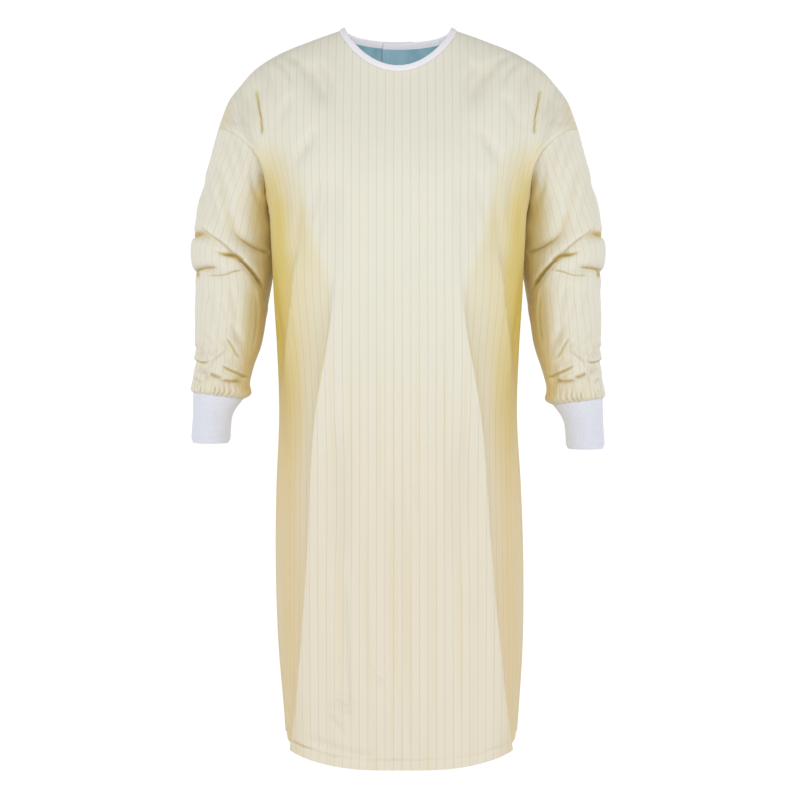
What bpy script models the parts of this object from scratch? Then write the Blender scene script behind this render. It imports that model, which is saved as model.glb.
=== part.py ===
"""An isolation gown as it hangs when it is worn, hollow, with its back lapped and fastened.

Metres, +Z up. The front faces -Y, the wearer's left is +X, and the origin lies
between the neck points, at the height of the shoulders that carry the gown.
"""

import math
from collections import namedtuple

import bmesh
import bpy
import numpy as np


def table(columns, *rows):
    """A table as one array for each named column."""
    return dict(zip(columns.split(), np.array(rows, float).T))


# Cloth
WALL = 0.0015  # the woven cloth with its backing
CUFF_WALL = 0.0022  # rib knit
BINDING_WALL = 0.0026  # a folded strip over the neck edge
BINDING_ROUND = 0.0012  # the height over which its folded top narrows
BINDING_TAPER = 0.0007  # by this much on each side
SEAM_GAP = 0.0003
HALF_GAP = SEAM_GAP / 2

# The body, as sections from the hem up to the armpit. Widest is the place of the
# side seam along Y, and squareness the section's superellipse power.
ARMPIT = -0.262
ARMPIT_STEP = 0.02  # how far below it the body's own slope is taken
HEM_SIDE = -1.095
HEM_FRONT = table(  # how far the front hem hangs below the side seam's end
    "u drop",
    (0.00, 0.0320), (0.20, 0.0307), (0.30, 0.0270), (0.40, 0.0203), (0.50, 0.0108),
    (0.60, 0.0072), (0.70, 0.0046), (0.80, 0.0024), (0.90, 0.0008), (1.00, 0.0000),
)
HEM_BACK_DROP = 0.024
HEM_BACK_POWER = 1.5
TORSO = table(
    "height half_width front back widest squareness centre",
    (-1.130, 0.1775, 0.163, 0.150, -0.008, 2.90, 0.0050),
    (-1.050, 0.1835, 0.163, 0.150, -0.008, 2.70, 0.0050),
    (-0.970, 0.1895, 0.162, 0.149, -0.008, 2.50, 0.0040),
    (-0.850, 0.1927, 0.160, 0.146, -0.008, 2.35, 0.0025),
    (-0.720, 0.1905, 0.156, 0.142, -0.008, 2.25, 0.0010),
    (-0.600, 0.1850, 0.152, 0.137, -0.010, 2.20, 0.0000),
    (-0.500, 0.1880, 0.149, 0.133, -0.014, 2.20, 0.0000),
    (-0.416, 0.1930, 0.147, 0.131, -0.018, 2.20, 0.0000),
    (-0.340, 0.1965, 0.145, 0.130, -0.020, 2.20, 0.0000),
    (-0.290, 0.2000, 0.143, 0.130, -0.014, 2.25, 0.0000),
    (-0.262, 0.2070, 0.141, 0.130, 0.008, 2.30, 0.0000),
)

# The long fold where the front plane turns to the side, from the chest to the hem.
RIDGE_LINE = table(
    "height across",
    (-1.130, 0.1610),
    (-0.960, 0.1440),
    (-0.819, 0.1330),
    (-0.622, 0.1210),
    (-0.430, 0.0950),
    (-0.262, 0.0900),
)
RIDGE_SHARE = 0.5  # the share of a half panel's columns inside that fold

# Shoulder line as seen from the front, from the neck to the top of the drop seam.
SHOULDER = table(
    "across height",
    (0.0925, -0.0045),
    (0.1330, -0.0187),
    (0.1890, -0.0420),
    (0.2250, -0.0655),
    (0.2465, -0.0890),
    (0.2645, -0.1120),
    (0.2745, -0.1360),
    (0.2825, -0.1590),
)
SHOULDER_BACK = 0.010  # how far back the line lies at the drop seam
NECK_SHARE = 0.375  # the share of a half panel's columns that end on the neck
NECK_BLEND = (0.35, 2.1)  # shares of that over which the neck's rise gives way to the shoulder's
EDGE_FADE = 0.06  # the u over which creases die out at a panel's edge

# Neck edge of the panels, and the top edge of the binding above it.
Neck = namedtuple("Neck", "half_width side_height front_y front_height back_y back_height")
NECK_CUT = Neck(0.0925, -0.0045, -0.0785, -0.0805, 0.0760, -0.0180)
NECK_TOP = Neck(0.0835, 0.0008, -0.0750, -0.0700, 0.0710, -0.0080)
NECK_FRONT_POWER = 0.78  # 0.5 would be half an ellipse
NECK_BACK_POWER = 0.45

# Armhole, which is the drop seam on the upper arm.
ARM_BULGE = 0.28  # four times the sleeve's half depth at the seam
ARM_TILT = 0.05  # how much the seam's lowest stretch climbs towards the front
SEAM_BOW_LOW = 0.15
SEAM_TUCK = 0.03
SEAM_BOW_HIGH = 0.05
SHOULDER_ROUND = 1.75
SEAM_BLEND = 0.70
SEAM_ACROSS = np.array((0.72, 0, -0.69))  # from the cap to the sleeve, square to the seam
SHOULDER_OUT = np.array((0.93, 0, 0.37))  # out of the cloth at the top of the seam

# Sleeve: its outer and inner line from the front, and its half depth and middle along Y.
SLEEVE = table(
    "down outer_x outer_z inner_x inner_z half_depth middle",
    (0.000, 0.2825, -0.159, 0.2070, -0.262, 0.0710, 0.009),
    (0.045, 0.2975, -0.204, 0.2080, -0.288, 0.0710, 0.030),
    (0.093, 0.3110, -0.250, 0.2005, -0.312, 0.0715, 0.037),
    (0.143, 0.3210, -0.299, 0.1960, -0.340, 0.0710, 0.038),
    (0.190, 0.3275, -0.345, 0.1955, -0.370, 0.0700, 0.036),
    (0.216, 0.3250, -0.371, 0.1970, -0.390, 0.0690, 0.034),
    (0.241, 0.3195, -0.396, 0.2000, -0.412, 0.0670, 0.029),
    (0.286, 0.3185, -0.441, 0.2070, -0.452, 0.0630, 0.017),
    (0.334, 0.3170, -0.489, 0.2145, -0.496, 0.0580, 0.003),
    (0.376, 0.3165, -0.531, 0.2265, -0.535, 0.0520, -0.010),
    (0.398, 0.3190, -0.553, 0.2305, -0.557, 0.0490, -0.017),
    (0.410, 0.3200, -0.563, 0.2290, -0.570, 0.0470, -0.020),
    (0.422, 0.3170, -0.568, 0.2400, -0.5785, 0.0385, -0.023),
)
CUFF = table(
    "down outer_x outer_z inner_x inner_z half_depth middle",
    (0.000, 0.3170, -0.568, 0.2400, -0.5785, 0.0385, -0.023),
    (0.016, 0.3170, -0.583, 0.2490, -0.5900, 0.0340, -0.027),
    (0.037, 0.3165, -0.603, 0.2560, -0.6050, 0.0305, -0.032),
    (0.058, 0.3175, -0.625, 0.2580, -0.6255, 0.0300, -0.037),
    (0.079, 0.3185, -0.6455, 0.2585, -0.6460, 0.0310, -0.041),
)
SLEEVE_BLEND = 0.10  # from here down a sleeve no longer follows the drop seam's outline
SLEEVE_CREASED = (-0.35, 0.15)  # creases grow between these slopes towards the front
LEFT_CUFF_DROP = 0.009  # the wearer's left cuff hangs this much lower
ELBOW = 0.190  # from here down the left sleeve takes up that drop

# Creases as the gown is seen from the front (or from behind). A crease stands out by
# rise along its path and lies lower by recess beyond it; a trough has a negative rise.
# Inner and outer are the widths on each side, and beyond is how far the recess reaches.
# Fades are the shares of the path over which it grows and dies. Side 0 is on both sides.
Crease = namedtuple("Crease", "side rise recess inner outer beyond fade_in fade_out path")
FRONT_CREASES = (
    Crease(0, 0.010, 0.004, 0.026, 0.012, 0.055, 0.22, 0.00,
           ((0.090, -0.370), (0.098, -0.450), (0.121, -0.622), (0.133, -0.819), (0.144, -0.960),
            (0.161, -1.130))),
    Crease(0, 0.000, 0.010, 0.026, 0.012, 0.055, 0.22, 0.50,  # deeper above than at the hem
           ((0.090, -0.370), (0.098, -0.450), (0.121, -0.622), (0.133, -0.819), (0.144, -0.960),
            (0.161, -1.130))),
    Crease(0, 0.005, 0.012, 0.020, 0.012, 0.040, 0.30, 0.40,
           ((0.152, -0.345), (0.163, -0.440), (0.174, -0.580))),
    Crease(0, 0.004, 0.010, 0.022, 0.014, 0.045, 0.35, 0.45,
           ((0.196, -0.075), (0.207, -0.150), (0.206, -0.200), (0.201, -0.245))),
    Crease(0, -0.0045, 0.0, 0.020, 0.020, 0.020, 0.35, 0.45,
           ((0.145, -0.060), (0.124, -0.100), (0.108, -0.140))),
    Crease(0, -0.003, 0.0, 0.020, 0.020, 0.020, 0.40, 0.45,
           ((0.090, -0.230), (0.095, -0.330), (0.097, -0.440))),
    Crease(0, -0.0045, 0.0, 0.020, 0.020, 0.020, 0.30, 0.40,
           ((0.091, -0.600), (0.090, -0.740), (0.088, -0.880))),
)
BACK_CREASES = (
    Crease(0, 0.009, 0.004, 0.030, 0.014, 0.055, 0.25, 0.00,
           ((0.100, -0.380), (0.119, -0.600), (0.133, -0.819), (0.144, -0.960), (0.161, -1.130))),
    Crease(0, 0.000, 0.007, 0.030, 0.014, 0.055, 0.25, 0.50,
           ((0.100, -0.380), (0.119, -0.600), (0.133, -0.819), (0.144, -0.960), (0.161, -1.130))),
    Crease(0, 0.004, 0.012, 0.024, 0.016, 0.045, 0.35, 0.45,
           ((0.190, -0.090), (0.205, -0.160), (0.204, -0.205), (0.200, -0.245))),
    Crease(-1, -0.007, 0.0, 0.024, 0.024, 0.024, 0.35, 0.40,
           ((0.120, -0.070), (0.112, -0.180), (0.118, -0.330))),
    Crease(1, -0.006, 0.0, 0.024, 0.024, 0.024, 0.35, 0.40,
           ((0.128, -0.090), (0.104, -0.210), (0.108, -0.300))),
    Crease(1, -0.006, 0.0, 0.026, 0.026, 0.026, 0.30, 0.30,
           ((0.070, -0.480), (0.078, -0.700), (0.074, -0.920))),
    Crease(-1, -0.005, 0.0, 0.026, 0.026, 0.026, 0.30, 0.30,
           ((0.084, -0.620), (0.080, -0.800), (0.088, -1.000))),
)
SLEEVE_CREASES = (
    Crease(0, 0.009, 0.008, 0.018, 0.010, 0.026, 0.20, 0.10,
           ((0.322, -0.276), (0.304, -0.318), (0.262, -0.343), (0.240, -0.364), (0.204, -0.414))),
    Crease(0, -0.010, 0.0, 0.015, 0.015, 0.015, 0.20, 0.50,
           ((0.332, -0.318), (0.312, -0.323), (0.285, -0.338))),
    Crease(0, -0.009, 0.0, 0.014, 0.014, 0.014, 0.20, 0.60,
           ((0.334, -0.377), (0.292, -0.371), (0.254, -0.380), (0.232, -0.373))),
    Crease(0, -0.006, 0.0, 0.012, 0.012, 0.012, 0.30, 0.30,
           ((0.281, -0.276), (0.262, -0.312), (0.237, -0.332), (0.198, -0.346))),
    Crease(0, 0.004, 0.007, 0.012, 0.008, 0.016, 0.25, 0.20,
           ((0.300, -0.536), (0.266, -0.546), (0.232, -0.553))),
    Crease(0, -0.005, 0.0, 0.012, 0.012, 0.012, 0.25, 0.25,
           ((0.312, -0.470), (0.284, -0.505), (0.258, -0.528))),
)

# Grids of the walls
BODY_ROWS = 18
YOKE_ROWS = 11  # from the armpit to the shoulder line, and half round a sleeve
FRONT_HALF_COLUMNS = 16
BACK_COLUMNS = 13
SLEEVE_ROWS = 24
CUFF_ROWS = 5
PATH_STEPS = 24

# Back opening
LAP = 0.026  # how far past the centre back each panel reaches
LAP_PROBE = 0.06  # a u about there
UNDER_LAP = 0.0040  # the under panel lies this far inside the upper one
LAP_START = 0.48  # the u at which it starts to sink under
LAP_FULL = 0.10  # the u at which it is fully under

# Press studs on the back lap, at these heights
STUD_HEIGHTS = (-0.060, -0.330, -0.600)
STUD_CAP_RADIUS = 0.0060
STUD_CAP_RISE = 0.0016
STUD_RING_RADIUS = 0.0050
STUD_RING_RISE = 0.0012
STUD_SIDES = 16
STUD_DOME = table("height radius", (0.0, 1.0), (0.55, 1.0), (0.85, 0.85), (1.0, 0.55))  # as shares
STUD_GAP = 0.0004  # a stud's flat face stands this far off the curved cloth

CREAM = (0.80, 0.74, 0.56)
WHITE = (0.86, 0.86, 0.90)
STEEL = (0.62, 0.62, 0.60)


def smooth(x, xs, ys):
    """A smooth curve through a table's points."""
    slope = np.gradient(ys, xs)
    x = np.clip(x, xs[0], xs[-1])
    i = np.clip(np.searchsorted(xs, x) - 1, 0, len(xs) - 2)
    step = xs[i + 1] - xs[i]
    t = (x - xs[i]) / step
    return (
        (1 + 2 * t) * (1 - t) ** 2 * ys[i]
        + t * (1 - t) ** 2 * step * slope[i]
        + t**2 * (3 - 2 * t) * ys[i + 1]
        - t**2 * (1 - t) * step * slope[i + 1]
    )


def ease(x, low, high):
    """0 below low, 1 above high, smooth between."""
    t = np.clip((x - low) / (high - low), 0, 1)
    return t * t * (3 - 2 * t)


def unit(vectors):
    return vectors / np.maximum(np.linalg.norm(vectors, axis=-1, keepdims=True), 1e-12)


def points(x, y, z):
    return np.stack(np.broadcast_arrays(x, y, z), axis=-1).astype(float)


def torso(u, height, facing):
    """Points of the body below the armpit. u runs from -1 to 1 between the side seams."""
    row = {name: smooth(height, TORSO["height"], TORSO[name]) for name in TORSO}
    power = row["squareness"]
    depth = np.where(facing < 0, row["front"] + row["widest"], row["back"] - row["widest"])
    across = smooth(height, RIDGE_LINE["height"], RIDGE_LINE["across"]) / row["half_width"]
    fold = np.arctan2(across, (1 - across**power) ** (1 / power))
    a = np.abs(u)
    inside = fold * a / RIDGE_SHARE
    outside = fold + (math.pi / 2 - fold) * (a - RIDGE_SHARE) / (1 - RIDGE_SHARE)
    angle = np.where(a < RIDGE_SHARE, inside, outside)
    radius = (np.sin(angle) ** power + np.cos(angle) ** power) ** (-1 / power)
    x = row["centre"] + np.sign(u) * row["half_width"] * radius * np.sin(angle)
    y = row["widest"] + facing * depth * radius * np.cos(angle)
    return points(x, y, height)


def neck(turn, facing, edge):
    """A neck edge. turn runs from -1 to 1 between the shoulder lines."""
    x = edge.half_width * np.sin(turn * math.pi / 2)
    y_end = edge.front_y if facing < 0 else edge.back_y
    z_end = edge.front_height if facing < 0 else edge.back_height
    power = NECK_FRONT_POWER if facing < 0 else NECK_BACK_POWER
    low = np.maximum(0, 1 - (x / edge.half_width) ** 2) ** power
    y = y_end * np.cos(turn * math.pi / 2)
    return points(x, y, edge.side_height + (z_end - edge.side_height) * low)


def shoulder(share):
    """The shoulder line on the wearer's left, from the neck (0) to the drop seam (1)."""
    steps = np.hypot(np.diff(SHOULDER["across"]), np.diff(SHOULDER["height"]))
    along = np.concatenate([[0], np.cumsum(steps)])
    at = share * along[-1]
    x = smooth(at, along, SHOULDER["across"])
    return points(x, SHOULDER_BACK * share, smooth(at, along, SHOULDER["height"]))


def mirrored(vectors, u):
    """The same on the wearer's right where u is negative."""
    return vectors * points(np.where(u < 0, -1, 1), 1, 1)


def yoke(u, g, facing):
    """Points above the armpit: g runs from 0 there to 1 on the neck and shoulder line."""
    a = np.abs(u)
    low = torso(u, np.full_like(u, ARMPIT), facing)
    below = torso(u, np.full_like(u, ARMPIT - ARMPIT_STEP), facing)
    turn = np.clip(u / NECK_SHARE, -1, 1)
    share = np.clip((a - NECK_SHARE) / (1 - NECK_SHARE), 0, 1)
    on_neck = neck(turn, facing, NECK_CUT)
    top = np.where((a < NECK_SHARE)[..., None], on_neck, mirrored(shoulder(share), u))
    rise = (top - low)[..., 2:]
    deep = np.abs((top - low)[..., 1:2])

    upward = unit(low - below) * rise
    seam_low = points(-SEAM_TUCK, facing * ARM_BULGE, -facing * ARM_TILT)
    seam_low = mirrored(seam_low + points(0, 0, SEAM_BOW_LOW * (facing < 0)), u)
    at_seam = ease(a, SEAM_BLEND, 1)[..., None]
    start = upward * (1 - at_seam) + seam_low * at_seam

    to_neck = unit(neck(turn, facing, NECK_TOP) - on_neck) * rise
    over = points(0, -facing, 0) * deep * SHOULDER_ROUND
    seam_high = mirrored(points(SEAM_BOW_HIGH * (facing < 0), -facing * ARM_BULGE, 0), u)
    past_neck = ease(a / NECK_SHARE, *NECK_BLEND)[..., None]
    finish = to_neck * (1 - past_neck) + over * past_neck
    finish = finish * (1 - at_seam) + seam_high * at_seam

    g = g[..., None]
    return (
        (1 + 2 * g) * (1 - g) ** 2 * low
        + g * (1 - g) ** 2 * start
        + g**2 * (3 - 2 * g) * top
        - g**2 * (1 - g) * finish
    )


def hem_height(u, facing):
    if facing > 0:
        return HEM_SIDE - HEM_BACK_DROP * np.cos(u * math.pi / 2) ** HEM_BACK_POWER
    return HEM_SIDE - smooth(np.abs(u), HEM_FRONT["u"], HEM_FRONT["drop"])


def panel_surface(us, facing):
    """The rows of a panel from its hem to its neck and shoulder line. us has their u."""
    rows = []
    for u, step in zip(us, np.linspace(0, 1, BODY_ROWS + 1)[:-1]):
        hem = hem_height(u, facing)
        rows.append(torso(u, hem + (ARMPIT - hem) * step, facing))
    for u, g in zip(us[BODY_ROWS:], np.linspace(0, 1, YOKE_ROWS + 1)):
        rows.append(yoke(u, np.full_like(u, g), facing))
    return np.array(rows)


def armhole(side):
    """The drop seam as a ring: up the front from the armpit, then down the back."""
    g = np.linspace(0, 1, YOKE_ROWS + 1)
    us = np.full_like(g, side)
    front = yoke(us, g, -1)
    back = yoke(us, g, 1)[::-1]
    return np.concatenate([front, back[1:-1]])


def tube_ring(rows, down, side, drop):
    """An oval ring of a sleeve or cuff, in the armhole's order of points."""
    row = {name: smooth(down, rows["down"], rows[name]) for name in rows}
    outer = points(side * row["outer_x"], row["middle"], row["outer_z"] - drop)
    inner = points(side * row["inner_x"], row["middle"], row["inner_z"] - drop)
    turn = np.arange(2 * YOKE_ROWS) * math.pi / YOKE_ROWS
    across = np.cos(turn)[:, None] * (inner - outer) / 2
    depth = points(0, -np.sin(turn) * row["half_depth"], 0)
    return (inner + outer) / 2 + across + depth


def sleeve_surface(side):
    length = SLEEVE["down"][-1]
    hole = armhole(side)
    rings = []
    for down in np.linspace(0, length, SLEEVE_ROWS + 1):
        drop = LEFT_CUFF_DROP * ease(down, ELBOW, length) if side > 0 else 0
        ring = tube_ring(SLEEVE, down, side, drop)
        start = tube_ring(SLEEVE, 0, side, 0)
        rings.append(ring + (hole - start) * (1 - ease(down, 0, SLEEVE_BLEND)))
    return np.array(rings)


def cuff_surface(side):
    drop = LEFT_CUFF_DROP if side > 0 else 0
    downs = np.linspace(0, CUFF["down"][-1], CUFF_ROWS)
    return np.array([tube_ring(CUFF, down, side, drop) for down in downs])


def tube_normals(grid):
    """Unit normals of a sleeve or cuff, away from its middle."""
    across = np.roll(grid, -1, axis=1) - np.roll(grid, 1, axis=1)
    normals = unit(np.cross(np.gradient(grid, axis=0), across))
    away = grid - grid.mean(axis=1, keepdims=True)
    return normals * np.sign((normals * away).sum())


def panel_normals(grid, facing):
    """Unit normals of a panel, towards the front or the back that it faces."""
    normals = unit(np.cross(np.gradient(grid, axis=0), np.gradient(grid, axis=1)))
    return normals * np.sign(normals[..., 1].sum() * facing)


def crease_path(crease):
    path = np.array(crease.path)
    along = np.concatenate([[0], np.cumsum(np.hypot(*np.diff(path, axis=0).T))])
    at = np.linspace(0, along[-1], PATH_STEPS + 1)
    return np.stack([smooth(at, along, path[:, 0]), smooth(at, along, path[:, 1])], axis=1)


def crease_lift(x, z, crease):
    """How far a crease lifts each point seen at x, z."""
    path = crease_path(crease)
    start, leg = path[:-1], np.diff(path, axis=0)
    away = np.stack([x, z], axis=-1)[..., None, :] - start
    t = np.clip((away * leg).sum(-1) / (leg**2).sum(-1), 0, 1)
    off = away - t[..., None] * leg
    distance = np.linalg.norm(off, axis=-1)
    nearest = distance.argmin(-1)[..., None]
    d = np.take_along_axis(distance, nearest, -1)[..., 0]
    beyond = np.take_along_axis(leg[:, 0] * away[..., 1] - leg[:, 1] * away[..., 0], nearest, -1)
    share = (nearest + np.take_along_axis(t, nearest, -1))[..., 0] / PATH_STEPS
    far = (crease.rise + crease.recess) * np.exp(-((d / crease.outer) ** 2))
    far = far - crease.recess * np.exp(-((d / crease.beyond) ** 2))
    near = crease.rise * np.exp(-((d / crease.inner) ** 2))
    lift = np.where(beyond[..., 0] > 0, far, near)
    if crease.fade_in:
        lift = lift * ease(share, 0, crease.fade_in)
    if crease.fade_out:
        lift = lift * ease(1 - share, 0, crease.fade_out)
    return lift


def creased(grid, normals, creases, strength):
    """The grid with its creases, which fade to nothing where strength does."""
    lift = np.zeros(grid.shape[:-1])
    x = grid[..., 0] - smooth(grid[..., 2], TORSO["height"], TORSO["centre"])
    for crease in creases:
        sides = (-1, 1) if crease.side == 0 else (crease.side,)
        for side in sides:
            lift += crease_lift(side * x, grid[..., 2], crease) * ease(side * x, -0.01, 0.01)
    return grid + normals * (lift * strength)[..., None]


def armhole_normals(side):
    """Normals round the drop seam: down at the armpit, out along the shoulder at the top."""
    turn = np.arange(2 * YOKE_ROWS) * math.pi / YOKE_ROWS
    bottom = (1 + np.cos(turn))[:, None] * points(0, 0, -1)
    top = (1 - np.cos(turn))[:, None] * SHOULDER_OUT * (side, 1, 1)
    return unit(bottom + top + 2 * np.sin(turn)[:, None] * points(0, -1, 0))


def panel(us, facing):
    """A panel's points and normals, creased, with the seams' own normals on its edges."""
    grid = panel_surface(us, facing)
    normals = panel_normals(grid, facing)
    inward = ease(1 - np.abs(us), 0, EDGE_FADE)
    rows = len(grid)
    below_top = np.minimum(1, (rows - 1 - np.arange(rows)) / 2)[:, None]
    creases = FRONT_CREASES if facing < 0 else BACK_CREASES
    grid = creased(grid, normals, creases, inward * below_top)
    normals = panel_normals(grid, facing)

    seam = slice(0, BODY_ROWS)
    hole = slice(BODY_ROWS, rows)
    us = us[-1]
    for column in np.flatnonzero(np.abs(us) == 1):
        side = us[column]
        normals[seam, column] = (side, 0, 0)
        around = armhole_normals(side)
        turn = np.arange(YOKE_ROWS + 1)
        normals[hole, column] = around[turn if facing < 0 else -turn]
        grid[hole, column] -= HALF_GAP * SEAM_ACROSS * (side, 1, 1)
        grid[: BODY_ROWS + 1, column, 1] += HALF_GAP * facing

    on_shoulder = np.abs(us) >= NECK_SHARE - 1e-9
    share = np.clip((np.abs(us) - NECK_SHARE) / (1 - NECK_SHARE), 0, 1)
    run = mirrored(shoulder(np.minimum(share + 0.01, 1)) - shoulder(np.maximum(share - 0.01, 0)), us)
    upward = unit(np.cross(run, points(0, 1, 0)))
    upward *= np.sign(upward[:, 2:])
    normals[-1, on_shoulder] = upward[on_shoulder]
    grid[-1, on_shoulder, 1] += HALF_GAP * facing
    on_neck = np.abs(us) <= NECK_SHARE + 1e-9
    to_top = neck_direction(us[on_neck] / NECK_SHARE, facing)
    grid[-1, on_neck] -= HALF_GAP * to_top
    normals[-1, on_neck] = neck_normals(us[on_neck] / NECK_SHARE, facing)
    return grid, normals


def neck_direction(turn, facing):
    """From the panels' neck edge to the top of the binding."""
    return unit(neck(turn, facing, NECK_TOP) - neck(turn, facing, NECK_CUT))


def neck_normals(turn, facing):
    """Out of the neck edge, square to it and to the binding."""
    step = 0.01
    run = neck(turn + step, facing, NECK_CUT) - neck(turn - step, facing, NECK_CUT)
    out = unit(np.cross(run, neck_direction(turn, facing)))
    return out * facing * np.sign(out[:, 1:2].sum())


def back_panel(side):
    """The panel on one side of the back. The wearer's left one laps under the other."""
    under = side > 0
    rows = BODY_ROWS + YOKE_ROWS + 1
    us = snapped(side * np.linspace(1, 0, BACK_COLUMNS + 1))
    us = np.tile(np.append(us, -side * LAP_PROBE), (rows, 1))
    reached = np.abs(panel_surface(us, 1)[:, -1, 0])
    us[:, -1] *= LAP / reached
    grid, normals = panel(us, 1)
    if under:
        sunk = UNDER_LAP * (1 - ease(side * us, LAP_FULL, LAP_START))
        grid -= normals * sunk[..., None]
    return us[-1], grid, normals


def snapped(us):
    """The columns, with the nearest one moved onto each neck point."""
    us = us.copy()
    for point in (-NECK_SHARE, NECK_SHARE):
        if us.min() < point < us.max():
            us[np.abs(us - point).argmin()] = point
    return us


def material(name, colour, roughness, metallic=0.0):
    made = bpy.data.materials.new(name)
    made.use_nodes = True
    shader = made.node_tree.nodes["Principled BSDF"]
    shader.inputs["Base Color"].default_value = (*colour, 1)
    shader.inputs["Roughness"].default_value = roughness
    shader.inputs["Metallic"].default_value = metallic
    made.diffuse_color = (*colour, 1)
    return made


def solid(name, outer, inner, closed, made):
    """A wall between two grids of points, as one closed object."""
    rows, columns = outer.shape[:2]
    count = rows * columns
    index = np.arange(count).reshape(rows, columns)
    faces = []
    wraps = range(columns if closed else columns - 1)
    for i in range(rows - 1):
        for j in wraps:
            k = (j + 1) % columns
            a, b, c, d = (int(index[p]) for p in ((i, j), (i, k), (i + 1, k), (i + 1, j)))
            faces.append((a, b, c, d))
            faces.append((d + count, c + count, b + count, a + count))
    edge = [(index[0, (j + 1) % columns], index[0, j]) for j in wraps]
    edge += [(index[-1, j], index[-1, (j + 1) % columns]) for j in wraps]
    if not closed:
        edge += [(index[i, 0], index[i + 1, 0]) for i in range(rows - 1)]
        edge += [(index[i + 1, -1], index[i, -1]) for i in range(rows - 1)]
    faces += [(int(a), int(b), int(b) + count, int(a) + count) for a, b in edge]
    return add_object(name, np.concatenate([outer.reshape(-1, 3), inner.reshape(-1, 3)]), faces, made)


def add_object(name, vertices, faces, made):
    mesh = bpy.data.meshes.new(name)
    mesh.from_pydata([tuple(v) for v in vertices], [], faces)
    mesh.validate()
    shape = bmesh.new()
    shape.from_mesh(mesh)
    bmesh.ops.recalc_face_normals(shape, faces=shape.faces)
    bmesh.ops.triangulate(shape, faces=shape.faces)
    if shape.calc_volume(signed=True) < 0:
        bmesh.ops.reverse_faces(shape, faces=shape.faces)
    shape.to_mesh(mesh)
    shape.free()
    mesh.shade_smooth()
    mesh.set_sharp_from_angle(angle=math.radians(50))
    mesh.materials.append(made)
    made_object = bpy.data.objects.new(name, mesh)
    bpy.context.collection.objects.link(made_object)
    return made_object


def make_front():
    half = np.linspace(0, 1, FRONT_HALF_COLUMNS + 1)
    us = snapped(np.concatenate([-half[:0:-1], half]))
    grid, normals = panel(np.tile(us, (BODY_ROWS + YOKE_ROWS + 1, 1)), -1)
    solid("front_panel", grid, grid - WALL * normals, False, material("front cloth", CREAM, 0.6))
    return us, grid, normals


def make_sleeve(side, name):
    grid = sleeve_surface(side)
    normals = tube_normals(grid)
    front = ease(-normals[..., 1], *SLEEVE_CREASED)
    near = ease(np.arange(len(grid)), 0, 3) * ease(len(grid) - 1 - np.arange(len(grid)), 0, 2)
    grid = creased(grid, normals, SLEEVE_CREASES, front * near[:, None])
    normals = tube_normals(grid)
    normals[0] = armhole_normals(side)
    grid[0] += HALF_GAP * SEAM_ACROSS * (side, 1, 1)
    grid[-1, :, 2] += HALF_GAP
    solid(name, grid, grid - WALL * normals, True, material(name + " cloth", CREAM, 0.6))
    return grid, normals


def make_cuff(side, name):
    grid = cuff_surface(side)
    normals = tube_normals(grid)
    grid[0, :, 2] -= HALF_GAP
    solid(name, grid, grid - CUFF_WALL * normals, True, material(name + " rib knit", WHITE, 0.9))


def make_binding(front, back_right, back_left):
    """A strip round the neck, from the upper back panel's end to the under one's."""
    stations = []
    us, grid, normals = back_right
    for k in np.flatnonzero(us >= -NECK_SHARE - 1e-9)[::-1]:
        stations.append((grid[-1, k], normals[-1, k], neck_direction(us[k] / NECK_SHARE, 1)))
    us, grid, normals = front
    for k in np.flatnonzero(np.abs(us) < NECK_SHARE - 1e-9):
        stations.append((grid[-1, k], normals[-1, k], neck_direction(us[k] / NECK_SHARE, -1)))
    us, grid, normals = back_left
    for k in np.flatnonzero(us <= NECK_SHARE + 1e-9):
        stations.append((grid[-1, k], normals[-1, k], neck_direction(us[k] / NECK_SHARE, 1)))
    stations = np.array(stations)
    edge, out, up = stations[:, 0], stations[:, 1], unit(stations[:, 2])
    spare = (BINDING_WALL - WALL) / 2
    tall = np.linalg.norm(neck(np.array([0.0]), -1, NECK_TOP) - neck(np.array([0.0]), -1, NECK_CUT))
    rises = np.array((SEAM_GAP, tall / 2, tall - BINDING_ROUND, tall))
    swell = np.array((0.0, 0.0, 0.0, -BINDING_TAPER))
    outer = edge[None] + up[None] * rises[:, None, None] + out[None] * (spare + swell)[:, None, None]
    thick = (BINDING_WALL + 2 * swell)[:, None, None]
    solid("neck_binding", outer, outer - out[None] * thick, False, material("binding", WHITE, 0.8))
    return stations


def disc(name, centre, out, radius, rise, made):
    """A shallow domed disc that sits on the cloth at centre, with its dome along out."""
    side = unit(np.cross(out, (0, 0, 1)))
    up = np.cross(side, out)
    vertices = []
    for height, share in zip(STUD_DOME["height"], STUD_DOME["radius"]):
        for k in range(STUD_SIDES):
            turn = 2 * math.pi * k / STUD_SIDES
            around = side * math.cos(turn) + up * math.sin(turn)
            vertices.append(centre + out * height * rise + around * radius * share)
    n = STUD_SIDES
    faces = [tuple(range(n)), tuple(range(3 * n, 4 * n))]
    for ring in range(3):
        for k in range(n):
            a, b = ring * n + k, ring * n + (k + 1) % n
            faces.append((a, b, b + n, a + n))
    return add_object(name, np.array(vertices), faces, made)


def wall_cell(grid, normals, height, column):
    """The middle and direction of a wall's outer and inner face, near a height."""
    middles = (grid[:-1, column, 2] + grid[1:, column, 2]) / 2
    row = int(np.abs(middles - height).argmin())
    faces = []
    for face in (grid, grid - WALL * normals):
        a, b = face[row, column], face[row, column + 1]
        c, d = face[row + 1, column + 1], face[row + 1, column]
        out = unit(np.cross(c - a, d - b))
        faces.append(((a + b + c + d) / 4, out * np.sign(np.dot(out, normals[row, column]))))
    return faces


def dropped(point, out, face):
    """The point moved back along out onto a face."""
    middle, facing = face
    return point - out * np.dot(point - middle, facing) / np.dot(out, facing)


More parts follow.
